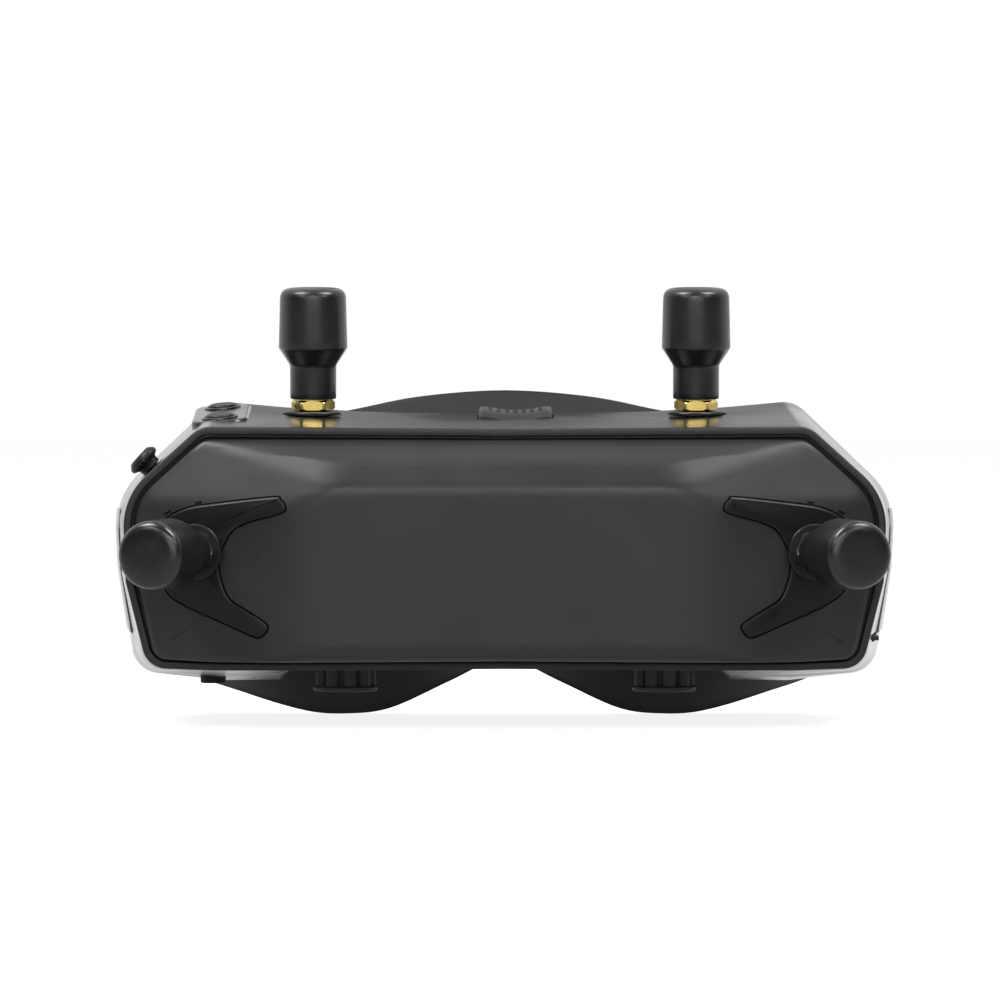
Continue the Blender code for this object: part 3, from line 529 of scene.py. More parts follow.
handling.links.new(smudge.outputs["Result"], handling_out.inputs["Smudge"])
handling.links.new(rub.outputs[0], handling_out.inputs["Rub"])
handling.links.new(scratch.outputs["Result"], handling_out.inputs["Scratch"])


def group_node(tree, group, **values):
    """A group placed in a material; values are its inputs, with _ for a space."""
    made = tree.nodes.new("ShaderNodeGroup")
    made.node_tree = group
    for label, value in values.items():
        made.inputs[label.replace("_", " ")].default_value = value
    return made


def blended(tree, factor, first, second):
    """The colour between two colours, each a socket or three numbers, at a factor."""
    mix = tree.nodes.new("ShaderNodeMix")
    mix.data_type = "RGBA"
    for socket, value in ((mix.inputs[0], factor), (mix.inputs[6], first), (mix.inputs[7], second)):
        if isinstance(value, bpy.types.NodeSocket):
            tree.links.new(value, socket)
        elif isinstance(value, (int, float)):
            socket.default_value = value
        else:
            socket.default_value = (*value, 1)
    return mix.outputs[2]


def plastic(name, colour, rubbed, rough, grain_scale=2600.0, grain_depth=0.02, smudge=0.08, edge_rub=0.5,
            specular=0.5, coat=0.0):
    """A moulded plastic: rough is its lowest and highest roughness, rubbed its colour where edges wear."""
    made = bpy.data.materials.new(name)
    made.use_nodes = True
    tree = made.node_tree
    shader = tree.nodes["Principled BSDF"]
    shader.inputs["Specular IOR Level"].default_value = specular
    shader.inputs["Coat Weight"].default_value = coat
    shader.inputs["Coat Roughness"].default_value = 0.08
    pebble = group_node(tree, grain, Scale=grain_scale)
    marks = group_node(tree, handling, Edge_Rub=edge_rub)
    shade = blended(tree, pebble.outputs["Mottle"], [c * 0.85 for c in colour], [c * 1.15 for c in colour])
    shade = blended(tree, marks.outputs["Rub"], shade, rubbed)
    tree.links.new(shade, shader.inputs["Base Color"])
    base = node(tree, "ShaderNodeMapRange", {"Value": pebble.outputs["Mottle"], "From Min": 0.3,
                                             "From Max": 0.7, "To Min": rough[0], "To Max": rough[1]})
    smeared = node(tree, "ShaderNodeMath", {0: marks.outputs["Smudge"], 1: smudge, 2: base.outputs["Result"]},
                   operation="MULTIPLY_ADD")
    tree.links.new(smeared.outputs[0], shader.inputs["Roughness"])
    bump = node(tree, "ShaderNodeBump", {"Height": pebble.outputs["Height"], "Strength": 0.35,
                                         "Distance": grain_depth * MM})
    tree.links.new(bump.outputs["Normal"], shader.inputs["Normal"])
    return made


gloss_black = plastic("gloss_black_shell", (0.012, 0.012, 0.013), (0.05, 0.05, 0.052), (0.13, 0.2), 900.0,
                      0.012, 0.12, 0.4, 0.5, 0.0)
settle_shading(main_housing)
dress(main_housing, gloss_black, "goggles", "gloss_black", "main_housing")


# ---------------------------------------------------------------- Front bezel
# A thin frame between the housing and the front cover, with softly rounded edges. It is a separate matte
# moulding that hides the joint between the two.

matte_black = plastic("matte_black_plastic", (0.008, 0.008, 0.0095), (0.035, 0.035, 0.04), (0.36, 0.46),
                      2400.0, 0.03, 0.1, 0.4, 0.35)
COVER_INSET = 1.9
bezel_section = [
    (-1.0, 0.5), (-0.96, 0.28), (-0.82, 0.1), (-0.6, 0.0), (1.2, 0.0), (1.2, 1.6), (-0.6, 1.6), (-0.82, 1.53),
    (-0.95, 1.4), (-1.0, 1.2),
]
bezel = add("front_bezel_ring", loft([ring_at(inset(lip_outline, i), d) for d, i in bezel_section]))
dress(bezel, matte_black, "goggles", "matte_black", "front_bezel")


# ---------------------------------------------------------------- Front cover
# One big satin panel that bulges out of the bezel: flat across the middle, turned back at both ends, and
# sloped along the top. Every fold is rounded. It holds the brackets of the front aerials in two pockets.

COVER_BULGE = 13.0
COVER_FLAT_HALF = 40.0
COVER_BACK = 1.2
COVER_TONGUE = 3.5
TONGUE_INSET = 2.9
COVER_WALL = 2.8
COVER_SIDE_WALL = 1.9
SIDE_ANGLE = math.radians(19)
SHOULDER_ANGLE = math.radians(26)
EDGE_ROUND = 1.3
shoulder_run = Vector((13, 0, -12.2)).normalized()
shoulder_out = Vector((-shoulder_run.z, 0, shoulder_run.x)) * math.sin(SHOULDER_ANGLE)
# The faces of the panel: a point on each, its outward normal, and how softly it meets the others in mm
PANEL_FACES = [
    ((0, -COVER_BULGE, 48), Vector((0, -1, 0.67)), 1.1),
    ((0, -9.5, 53.2), Vector((0, -1, 2)), 1.2),
    ((0, -COVER_BULGE, 15.3), Vector((0, -1, -1.2)), 0.9),
]
for sign in (-1, 1):
    PANEL_FACES.append(((sign * COVER_FLAT_HALF, -COVER_BULGE, 0),
                        Vector((sign * math.sin(SIDE_ANGLE), -math.cos(SIDE_ANGLE), 0)), 2.2))
    PANEL_FACES.append(((sign * 34, -11.66, 50), Vector((sign * 0.2, -1, 0.76)), 0.8))
    PANEL_FACES.append(((sign * 70.5, -2.5, 0), Vector((sign * 0.5, -1, 0)), 0.5))
    PANEL_FACES.append(((sign * 60, -1.5, 57.2),
                        Vector((sign * shoulder_out.x, -math.cos(SHOULDER_ANGLE), shoulder_out.z)), 1.0))


def panel_depth(x, z):
    """Depth of the panel's surface: the rearmost of its faces, with rounded folds between them."""
    depth = -COVER_BULGE
    for (px, pd, pz), normal, soft in PANEL_FACES:
        other = pd - (normal.x * (x - px) + normal.z * (z - pz)) / normal.y
        near = max(0.0, soft - abs(depth - other)) / soft
        depth = max(depth, other) + near * near * soft / 4
    return depth


def respaced(outline, half_count):
    """The same symmetric outline with evenly spaced points, half_count of them down each side."""
    right = outline[:len(outline) // 2 + 1]
    lengths = [0.0]
    for a, b in zip(right, right[1:]):
        lengths.append(lengths[-1] + (b - a).length)
    evenly, i = [], 0
    for k in range(half_count):
        want = lengths[-1] * k / (half_count - 1)
        while i < len(right) - 2 and lengths[i + 1] < want:
            i += 1
        evenly.append(right[i].lerp(right[i + 1], (want - lengths[i]) / (lengths[i + 1] - lengths[i])))
    return both_sides(evenly)


def panel_rings(outline, edge, rings, surface):
    """Rings from the outline to a line along the middle of the panel, on the surface that is given."""
    count = len(outline)
    made = []
    for reach in edge:
        made.append([at(p.x, surface(p.x, p.y, reach), p.y) for p in inset(outline, reach)])
    start = inset(outline, edge[-1])
    for k in range(1, rings + 1):
        share = k / rings
        ring = []
        for i, p in enumerate(start):
            target = Vector((46 * math.sin(2 * math.pi * i / count), 35))
            q = p.lerp(target, share)
            ring.append(at(q.x, surface(q.x, q.y, 99), q.y))
        made.append(ring)
    return made


def outer_face(x, z, reach):
    rounding = max(0.0, EDGE_ROUND - reach)
    return panel_depth(x, z) + EDGE_ROUND - math.sqrt(EDGE_ROUND ** 2 - rounding ** 2)


def inner_face(x, z, reach):
    return min(panel_depth(x, z) + COVER_WALL, COVER_TONGUE)


cover_outline = respaced(inset(lip_outline, COVER_INSET), 190)
skin = panel_rings(cover_outline, (0, 0.05, 0.2, 0.45, 0.8, 1.3, 2.2, 3.4), 34, outer_face)
tongue_outline = inset(cover_outline, TONGUE_INSET - COVER_INSET)
lining = panel_rings(inset(tongue_outline, COVER_SIDE_WALL), (0, 1.5), 14, inner_face)
tongue = [ring_at(inset(tongue_outline, COVER_SIDE_WALL), COVER_TONGUE),
          ring_at(inset(tongue_outline, 0.3), COVER_TONGUE), ring_at(tongue_outline, COVER_TONGUE - 0.3),
          ring_at(tongue_outline, COVER_BACK), ring_at(cover_outline, COVER_BACK)]
shape = bmesh.new()
rows = [[shape.verts.new(point) for point in ring] for ring in lining[::-1] + tongue + skin]
for low, high in zip(rows, rows[1:]):
    for i in range(len(low)):
        j = (i + 1) % len(low)
        shape.faces.new((low[i], low[j], high[j], high[i]))
bmesh.ops.remove_doubles(shape, verts=shape.verts, dist=1e-6)
bmesh.ops.dissolve_degenerate(shape, edges=shape.edges, dist=1e-7)
bmesh.ops.recalc_face_normals(shape, faces=shape.faces)
front_cover = add("front_cover_panel", shape, 40)

# Outline of a bracket seen from the front, for the side at -X
SEAT_BRACKET = [
    (-43.7, 44.5), (-44.6, 45.7), (-46.2, 46.1), (-58.3, 44.7), (-63.4, 43.8), (-67.6, 41.6),
    (-69.4, 37.8), (-69.4, 32), (-67.4, 27.2), (-63.9, 24.6), (-54.7, 20.5), (-50.3, 18.6),
    (-48.6, 18.3), (-47.2, 19.8), (-47.6, 21.1), (-51.5, 23.6), (-55.2, 26.3), (-57, 32.4),
    (-55.9, 36.7), (-52.9, 40.4), (-44.5, 43),
]
BRACKET_THICK = 1.6


def flowing(points, per_span=5):
    """A smooth closed line through points."""
    made = []
    count = len(points)
    for i in range(count):
        a, b, c, d = (Vector(points[(i + k) % count]) for k in (-1, 0, 1, 2))
        for k in range(per_span):
            t = k / per_span
            made.append(0.5 * (2 * b + (c - a) * t + (2 * a - 5 * b + 4 * c - d) * t * t
                               + (3 * b - a - 3 * c + d) * t ** 3))
    return made


bracket_line = flowing(SEAT_BRACKET)


def bracket_ring(sign, grow, height):
    """The bracket's outline grown by grow and lying height mm outside the seat of the aerial."""
    turn = joint_of["nut_front_left_turn" if sign < 0 else "nut_front_right_turn"]
    base = Vector(turn["pos_m"]) + Vector(turn["axis"]) * height * MM
    direction = Vector(turn["axis"])
    ring = []
    for p in inset(bracket_line, grow):
        x, z = sign * -p.x * MM, p.y * MM
        ring.append(Vector((x, base.y - (x - base.x) * direction.x / direction.y, z)))
    return ring


CLIP_NOTCHES = [((61.0, 44.9), -11), ((67.2, 42.9), -28), ((60.3, 22.7), 24), ((63.1, 24.0), 24)]
for side, sign in (("left", -1), ("right", 1)):
    pocket = loft([bracket_ring(sign, GAP, height) for height in (-2 * GAP - BRACKET_THICK, 3)], capped=True)
    seat = seat_of("front_" + side)
    join(front_cover, "DIFFERENCE", pocket, turned([(0, 8), (JACK_R + GAP, 8), (JACK_R + GAP, -12), (0, -12)],
                                                   seat))
    for (x, z), lean in CLIP_NOTCHES:
        notch = block((-0.7, -0.9, -0.3), (0.7, 2.0, 0.3))
        bmesh.ops.translate(notch, verts=notch.verts, vec=-at(0, 0, 0))
        bmesh.ops.rotate(notch, verts=notch.verts, cent=(0, 0, 0),
                         matrix=Matrix.Rotation(math.radians(-lean * sign), 3, "Y"))
        bmesh.ops.translate(notch, verts=notch.verts, vec=at(sign * x, panel_depth(x, z) + 0.2, z))
        join(front_cover, "DIFFERENCE", notch)

satin_grey = plastic("satin_grey_panel", (0.019, 0.019, 0.0194), (0.06, 0.06, 0.062), (0.32, 0.38), 2200.0,
                     0.025, 0.06, 0.3, 0.25)
settle_shading(front_cover)
dress(front_cover, satin_grey, "goggles", "satin_grey", "front_cover")


# ---------------------------------------------------------------- Brackets of the front aerials
# Two boomerang-shaped plates let into the ends of the panel, in slightly blue black plastic with a bevelled
# edge that catches the light. Each one is bored for an aerial jack.

bracket_black = plastic("bracket_black", (0.004, 0.0046, 0.0056), (0.03, 0.031, 0.034), (0.3, 0.38), 2600.0,
                        0.02, 0.08, 0.5, 0.2)
for side, sign in (("left", -1), ("right", 1)):
    heights = [(0.0, -GAP - BRACKET_THICK), (0.0, -GAP - 0.42), (-0.1, -GAP - 0.2), (-0.34, -GAP - 0.04),
               (-0.46, -GAP)]
    bracket = add("aerial_bracket_" + side, loft([bracket_ring(sign, g, a) for g, a in heights], capped=True))
    join(bracket, "DIFFERENCE", hole(JACK_R + GAP, -12, 8, seat_of("front_" + side), 0.3, -GAP))
    dress(bracket, bracket_black, "goggles", "matte_black", "bracket_" + side)


# ---------------------------------------------------------------- Aerials
# Four screw-on aerials. A threaded gold jack and a black washer stay on the shell, the hexagon nut turns on
# the jack, gold on top and steel in front, and the hollow black radome lifts off with it on its core.

radome_black = plastic("radome_black", (0.006, 0.0063, 0.007), (0.035, 0.035, 0.038), (0.24, 0.3), 2400.0,
                       0.02, 0.08, 0.3, 0.45)


def metal(name, colour, tarnish, rough, brushed=0.2):
    """A plated or bare metal with faint turning marks; tarnish is its colour where it has dulled."""
    made = bpy.data.materials.new(name)
    made.use_nodes = True
    tree = made.node_tree
    shader = tree.nodes["Principled BSDF"]
    shader.inputs["Metallic"].default_value = 1.0
    marks = group_node(tree, handling, Smudge_Scale=160.0, Edge_Rub=0.6)
    shade = blended(tree, marks.outputs["Smudge"], colour, tarnish)
    shade = blended(tree, marks.outputs["Rub"], shade, [min(1.0, c * 1.2) for c in colour])
    tree.links.new(shade, shader.inputs["Base Color"])
    level = node(tree, "ShaderNodeMapRange", {"Value": marks.outputs["Smudge"], "To Min": rough[0],
                                              "To Max": rough[1]})
    tree.links.new(level.outputs["Result"], shader.inputs["Roughness"])
    bump = node(tree, "ShaderNodeBump", {"Height": marks.outputs["Scratch"], "Strength": brushed,
                                         "Distance": 0.01 * MM})
    tree.links.new(bump.outputs["Normal"], shader.inputs["Normal"])
    return made


gold_plate = metal("gold_plating", (0.98, 0.76, 0.26), (0.8, 0.52, 0.14), (0.14, 0.24))
steel = metal("brushed_steel", (0.56, 0.57, 0.58), (0.4, 0.4, 0.41), (0.22, 0.38), 0.4)
THREAD_PITCH = 0.7
THREAD_DEPTH = 0.32


def threaded(place, low, high, radius, turns=48, rows=6):
    """Rings of a right-handed thread between two heights."""
    rings = []
    count = int((high - low) / THREAD_PITCH * rows)
    for j in range(count + 1):
        a = low + (high - low) * j / count
        ring = []
        for k in range(turns):
            turn = k / turns
            wave = abs(((a / THREAD_PITCH - turn) % 1.0) * 2 - 1)
            fade = min(1.0, (high - a) / 0.5)
            r = radius - THREAD_DEPTH * wave * fade - 0.25 * (1 - fade)
            angle = 2 * math.pi * turn
            ring.append(place @ (Vector((r * math.cos(angle), r * math.sin(angle), a)) * MM))
        rings.append(ring)
    return rings


def plain_ring(place, radius, a, turns=48):
    angles = [2 * math.pi * k / turns for k in range(turns)]
    return [place @ (Vector((radius * math.cos(t), radius * math.sin(t), a)) * MM) for t in angles]


for aerial in ("top_left", "top_right", "front_left", "front_right"):
    seat = seat_of(aerial)
    inner_end = -GAP - SEAT_WALL - GAP
    jack = add("jack_thread_" + aerial, loft(
        threaded(seat, inner_end, 4.85, JACK_R)
        + [plain_ring(seat, 2.45, 4.85), plain_ring(seat, 2.2, 4.65), plain_ring(seat, 2.2, inner_end - 1.8),
           plain_ring(seat, 4.8, inner_end - 1.8), plain_ring(seat, 5.0, inner_end - 1.6),
           plain_ring(seat, 5.0, inner_end)]), 30)
    dress(jack, gold_plate, "goggles", "gold_plate", "jack_" + aerial)
    washer = add("washer_" + aerial, turned([
        (JACK_R + GAP, 0.8), (5.2, 0.8), (5.48, 0.72), (5.65, 0.5), (5.65, 0.12), (5.53, 0.0),
        (JACK_R + GAP, 0.0),
    ], seat, 72))
    dress(washer, bracket_black, "goggles", "matte_black", "gasket_" + aerial)

    nut = add("hex_nut_" + aerial, turned([
        (2.6, 6.65), (3.65, 6.65), (3.85, 6.45), (3.9, 6.25), (3.9, 3.1), (4.15, 2.95), (4.45, 2.6),
        (4.45, 1.4), (4.15, 1.1), (JACK_R + GAP + 0.25, 1.1), (JACK_R + GAP, 1.35), (JACK_R + GAP, 5.95),
        (2.6, 5.95),
    ], seat, 96), 25)
    hexagon = add("helper", turned([(0, 8), (4 / math.cos(math.pi / 6), 8), (4 / math.cos(math.pi / 6), 0.5),
                                    (0, 0.5)], seat, 6))
    step = nut.modifiers.new("flats", "BOOLEAN")
    step.operation = "INTERSECT"
    step.solver = "MANIFOLD"
    step.object = hexagon
    apply_modifiers(nut, 25)
    bpy.data.objects.remove(hexagon)
    plating, slot = (steel, "steel") if aerial.startswith("front") else (gold_plate, "gold_plate")
    dress(nut, plating, "nut_" + aerial, slot, "nut_" + aerial)

    radome = add("radome_shell_" + aerial, turned([
        (0, 25.85), (2.5, 25.85), (4.6, 25.83), (5.35, 25.7), (6.0, 25.4), (6.45, 24.9), (6.68, 24.3),
        (6.75, 23.6), (6.85, 19.6), (6.95, 15.6), (7.0, 13.85), (6.97, 13.62), (6.86, 13.42), (6.35, 12.6),
        (5.85, 11.85), (5.3, 11.0), (4.95, 10.45), (4.77, 10.1), (4.72, 9.7), (4.7, 8.4), (4.7, 4.8),
        (4.7, 3.6),
        (4.6, 3.32), (4.42, 3.25), (4.2, 3.4), (4.2, 10.3), (6.2, 14.1), (6.1, 24.3), (0, 24.3),
    ], seat, 96), 40)
    dress(radome, radome_black, "aerial_" + aerial, "radome_black", "radome_" + aerial)
    core = frame["nodes"]["core_" + aerial]
    for place in core.material_slots:
        place.material = gold_plate


# ---------------------------------------------------------------- Push buttons
# Two round keys on the pad, dished so that a finger finds them, with a rounded edge. Each travels in a
# chamfered well.

for button in ("button_front", "button_rear"):
    key = add("round_key_" + button.split("_")[1], turned([
        (0, 0.62), (1.0, 0.65), (1.7, 0.72), (2.1, 0.79), (2.35, 0.8), (2.6, 0.73), (2.76, 0.56), (2.8, 0.35),
        (2.8, -1.1), (2.0, -1.1), (2.0, -3.3), (2.6, -3.3), (2.6, -3.8), (0, -3.8),
    ], on_pad(button), 64))
    dress(key, matte_black, button, "matte_black", button)


# ---------------------------------------------------------------- Joystick
# A small five-way nub on the shoulder of the shell. Its cap has moulded grip ribs, and it tilts and presses
# on the gimbal of the base under it.

def new_tree(name, inputs):
    """An empty geometry node tree with named inputs and a material; returns it with its two end nodes."""
    tree = bpy.data.node_groups.new(name, "GeometryNodeTree")
    tree.interface.new_socket("Geometry", in_out="INPUT", socket_type="NodeSocketGeometry")
    for label, value in inputs:
        kind = "NodeSocketInt" if isinstance(value, int) else "NodeSocketFloat"
        tree.interface.new_socket(label, in_out="INPUT", socket_type=kind).default_value = value
    tree.interface.new_socket("Material", in_out="INPUT", socket_type="NodeSocketMaterial")
    tree.interface.new_socket("Geometry", in_out="OUTPUT", socket_type="NodeSocketGeometry")
    return tree, tree.nodes.new("NodeGroupInput"), tree.nodes.new("NodeGroupOutput")


def end_tree(tree, start, end, geometry):
    """Ends a tree with real geometry in the chosen material."""
    real = node(tree, "GeometryNodeRealizeInstances", {"Geometry": geometry})
    painted = node(tree, "GeometryNodeSetMaterial", {"Geometry": real.outputs["Geometry"],
                                                     "Material": start.outputs["Material"]})
    tree.links.new(painted.outputs["Geometry"], end.inputs["Geometry"])


def grown(name, tree, material, place, base=None, smooth_below=35, **values):
    """A plain mesh object from a tree; values are its inputs, with _ for a space."""
    source = bpy.data.objects.new("source", base or bpy.data.meshes.new("source"))
    bpy.context.scene.collection.objects.link(source)
    step = source.modifiers.new("tree", "NODES")
    step.node_group = tree
    wanted = {label.replace("_", " "): value for label, value in values.items()} | {"Material": material}
    for item in tree.interface.items_tree:
        if item.in_out == "INPUT" and item.name in wanted:
            step[item.identifier] = wanted[item.name]
    graph = bpy.context.evaluated_depsgraph_get()
    graph.update()
    mesh = bpy.data.meshes.new_from_object(source.evaluated_get(graph))
    source.modifiers.remove(step)
    bpy.data.objects.remove(source)
    mesh.transform(place)
    mesh.name = name
    made = bpy.data.objects.new(name, mesh)
    bpy.context.scene.collection.objects.link(made)
    mesh.shade_smooth()
    mesh.set_sharp_from_angle(angle=math.radians(smooth_below))
    return made


# Ribs round a turned piece: upright bars, a few faces each
ribs, ribs_in, ribs_out = new_tree("ribs_round_a_knob", [
    ("Count", 20), ("Radius", 0.005), ("Height", 0.004), ("Width", 0.0006), ("Depth", 0.0008)])
ring_points = node(ribs, "GeometryNodeMeshCircle", {"Vertices": ribs_in.outputs["Count"],
                                                    "Radius": ribs_in.outputs["Radius"]})
step_turn = node(ribs, "ShaderNodeMath", {0: 2 * math.pi, 1: ribs_in.outputs["Count"]}, operation="DIVIDE")
which = node(ribs, "GeometryNodeInputIndex")
turn_by = node(ribs, "ShaderNodeMath", {0: which.outputs["Index"], 1: step_turn.outputs[0]},
               operation="MULTIPLY")
heading = node(ribs, "ShaderNodeCombineXYZ", {"Z": turn_by.outputs[0]})
bar = node(ribs, "GeometryNodeMeshCylinder", {"Vertices": 16, "Radius": 0.5, "Depth": 1.0})
bar_size = node(ribs, "ShaderNodeCombineXYZ", {"X": ribs_in.outputs["Depth"], "Y": ribs_in.outputs["Width"],
                                               "Z": ribs_in.outputs["Height"]})
bars = node(ribs, "GeometryNodeInstanceOnPoints", {
    "Points": ring_points.outputs["Mesh"], "Instance": bar.outputs["Mesh"],
    "Rotation": heading.outputs["Vector"], "Scale": bar_size.outputs["Vector"]})
end_tree(ribs, ribs_in, ribs_out, bars.outputs["Instances"])

stick_cap = add("joystick_nub", turned([
    (0, 3.1), (1.2, 3.13), (1.9, 3.24), (2.3, 3.3), (2.5, 3.22), (3.2, 2.55), (3.3, 2.35), (3.28, 1.75),
    (3.12, 1.5), (2.4, 1.15), (2.25, 0.9), (2.2, -0.1), (1.3, -0.4), (1.1, -2.6), (0, -2.6),
], stick_frame, 64))
dress(stick_cap, bracket_black, "stick_cap", "matte_black", "joystick_cap")
nub_ribs = grown("joystick_ribs", ribs, bracket_black, stick_frame @ Matrix.Translation((0, 0, 2.02 * MM)),
                 Count=20, Radius=3.1 * MM, Height=0.66 * MM, Width=0.42 * MM, Depth=0.5 * MM)
dress(nub_ribs, bracket_black, "stick_cap", "matte_black")


def repaint(material, *names):
    """Gives CAD pieces whose shape is right a finished material."""
    for name in names:
        for place in frame["nodes"][name].material_slots:
            place.material = material


repaint(matte_black, "joystick_base")
repaint(steel, "joystick_gimbal")


# ---------------------------------------------------------------- Rear housing and its screws
# The plate that closes the shell behind the optics. It has two rounded eye openings with chamfered rims, and
# six small screws with hexagon sockets hold it.

REAR_PLATE = (42.3, 45.3)
EYE_OPENING = (22.3, 18.5, 6.0)
plate_edge = [(42.3, 0.3), (42.38, 0.1), (42.6, 0.0), (44.9, 0.0), (45.15, 0.1), (45.3, 0.4)]
rear_housing = add("rear_housing_plate",
                   loft([ring_at(inset(rear_outline, i), d) for d, i in plate_edge], capped=True))


def eye_ring(middle, grow, depth):
    half_width, half_height, radius = EYE_OPENING
    corners = [(x * (half_width + grow), y * (half_height + grow), radius + grow)
               for x, y in ((-1, -1), (1, -1), (1, 1), (-1, 1))]
    return [at(middle.x / MM + p.x, depth, middle.z / MM + p.y) for p in eased(corners, 12, closed=True)]


for side, sign in (("left", -1), ("right", 1)):
    middle = eye_middles[side]
    window = [eye_ring(middle, grow, depth) for grow, depth in ((0, 41), (0, 44.6), (0.7, 45.31), (0.7, 47))]
    join(rear_housing, "DIFFERENCE", loft(window, capped=True), lug_shape(sign, GAP))
dress(rear_housing, matte_black, "goggles", "matte_black", "rear_housing")

screws, screws_in, screws_out = new_tree("socket_head_screws", [
    ("Head Radius", 0.0014), ("Head Height", 0.0006), ("Socket Radius", 0.0006)])
head = node(screws, "GeometryNodeMeshCone", {
    "Vertices": 36, "Radius Bottom": screws_in.outputs["Head Radius"],
    "Depth": screws_in.outputs["Head Height"]})
crown = node(screws, "ShaderNodeMath", {0: screws_in.outputs["Head Radius"], 1: 0.8}, operation="MULTIPLY")
screws.links.new(crown.outputs[0], head.inputs["Radius Top"])
socket = node(screws, "GeometryNodeMeshCylinder", {
    "Vertices": 6, "Radius": screws_in.outputs["Socket Radius"], "Depth": screws_in.outputs["Head Height"]})
raise_by = node(screws, "ShaderNodeCombineXYZ", {"Z": screws_in.outputs["Head Height"]})
raised = node(screws, "GeometryNodeTransform", {"Geometry": socket.outputs["Mesh"],
                                                "Translation": raise_by.outputs["Vector"]})
broached = node(screws, "GeometryNodeMeshBoolean", operation="DIFFERENCE")
screws.links.new(head.outputs["Mesh"], broached.inputs["Mesh 1"])
screws.links.new(raised.outputs["Geometry"], broached.inputs["Mesh 2"])
heads = node(screws, "GeometryNodeInstanceOnPoints", {"Points": screws_in.outputs["Geometry"],
                                                      "Instance": broached.outputs["Mesh"]})
end_tree(screws, screws_in, screws_out, heads.outputs["Instances"])
SCREW_SPOTS = [(67.3, 53.3), (72.4, 12.8), (30, 60.6)]
spots = bpy.data.meshes.new("screw_spots")
spots.from_pydata([(sign * x * MM, -z * MM, 0) for x, z in SCREW_SPOTS for sign in (-1, 1)], [], [])
screw_heads = grown("rear_screws", screws, steel, frame_on(at(0, REAR_PLATE[1], 0), (0, 1, 0)), spots, 30)
blackened_steel = metal("blackened_steel", (0.035, 0.035, 0.037), (0.02, 0.02, 0.02), (0.3, 0.45))
dress(screw_heads, blackened_steel, "goggles", "steel")


# ---------------------------------------------------------------- Face shroud
# The soft rubber hood between the shell and the face. It flares from the plate to a rim that wraps round the
# forehead, the temples and the nose.

SHROUD_BASE = [
    (0, 58, 0), (30, 58, 0), (44, 58, 0), (58, 57, 8), (72, 45, 12), (73, 31, 0),
    (70, 13, 8), (58, 10.8, 0), (46, 10.8, 0), (34, 11.2, 0), (0, 15, 0),
]
SHROUD_RIM = [
    (0, 67.2), (17, 66), (30, 63.5), (45, 60), (60, 52), (70.5, 43.5), (75.5, 33), (74, 18),
    (66.5, 9), (54, 4.2), (41.5, 0.6), (32.9, 0), (24, 1.1), (13.5, 5.8), (6, 9.6), (0, 13.5),
]
SHROUD_FRONT = 45.6
SHROUD_MIDDLE = 57.0
SHROUD_WRAP = 9.0
SHROUD_WALL = 1.8
HALF_RING = 110


def smoothed(half):
    """A whole outline through the points of its right half; its two middle points stay as they are."""
    first, last = half[1], half[-2]
    points = [(-first[0], first[1])] + half + [(-last[0], last[1])]
    line = flowing(points, 6)
    return both_sides(line[6:-11] + [Vector(half[-1])])


shroud_base = respaced(both_sides(eased(SHROUD_BASE, 12)), HALF_RING)
shroud_rim = respaced(smoothed(SHROUD_RIM), HALF_RING)


def rim_depth(x):
    return SHROUD_MIDDLE + SHROUD_WRAP * (x / 76) ** 2


def wrapped(outline, back=0.0):
    return [at(p.x, rim_depth(p.x) + back, p.y) for p in outline]


def between(outline_a, outline_b, share):
    middle = [a.lerp(b, share) for a, b in zip(outline_a, outline_b)]
    return [at(p.x, SHROUD_FRONT + (rim_depth(p.x) - SHROUD_FRONT) * share, p.y) for p in middle]


inner_base, inner_rim = inset(shroud_base, SHROUD_WALL), inset(shroud_rim, SHROUD_WALL)
steps = [k / 12 for k in range(1, 12)]
shroud = add("face_shroud_hood", loft(
    [ring_at(inset(shroud_base, 0.3), SHROUD_FRONT), ring_at(shroud_base, SHROUD_FRONT + 0.25)]
    + [between(shroud_base, shroud_rim, share) for share in steps]
    + [wrapped(shroud_rim, -0.5), wrapped(inset(shroud_rim, 0.1), -0.2), wrapped(inset(shroud_rim, 0.4)),
       wrapped(inset(inner_rim, -0.3)), wrapped(inner_rim, -0.3)]
    + [between(inner_base, inner_rim, share) for share in reversed(steps)]
    + [ring_at(inner_base, SHROUD_FRONT)]), 50)

# Settled dust: pale specks where a surface faces up.
dust, dust_in, dust_out = new_group("settled_dust", [("Amount", 0.3), ("Speck Scale", 900.0)],
                                    [("Dust", "NodeSocketFloat")])
facing = node(dust, "ShaderNodeNewGeometry")
upness = node(dust, "ShaderNodeSeparateXYZ", {"Vector": facing.outputs["Normal"]})
lying = node(dust, "ShaderNodeMapRange", {"Value": upness.outputs["Z"], "From Min": 0.2, "From Max": 1.0})
place_node = node(dust, "ShaderNodeTexCoord")
specks = node(dust, "ShaderNodeTexNoise", {"Vector": place_node.outputs["Object"],
                                           "Scale": dust_in.outputs["Speck Scale"], "Detail": 6.0})
sharp = node(dust, "ShaderNodeMapRange", {"Value": specks.outputs["Fac"], "From Min": 0.5, "From Max": 0.75})
settled = node(dust, "ShaderNodeMath", {0: lying.outputs["Result"], 1: sharp.outputs["Result"]},
               operation="MULTIPLY")
amount = node(dust, "ShaderNodeMath", {0: settled.outputs[0], 1: dust_in.outputs["Amount"]},
              operation="MULTIPLY")
dust.links.new(amount.outputs[0], dust_out.inputs["Dust"])


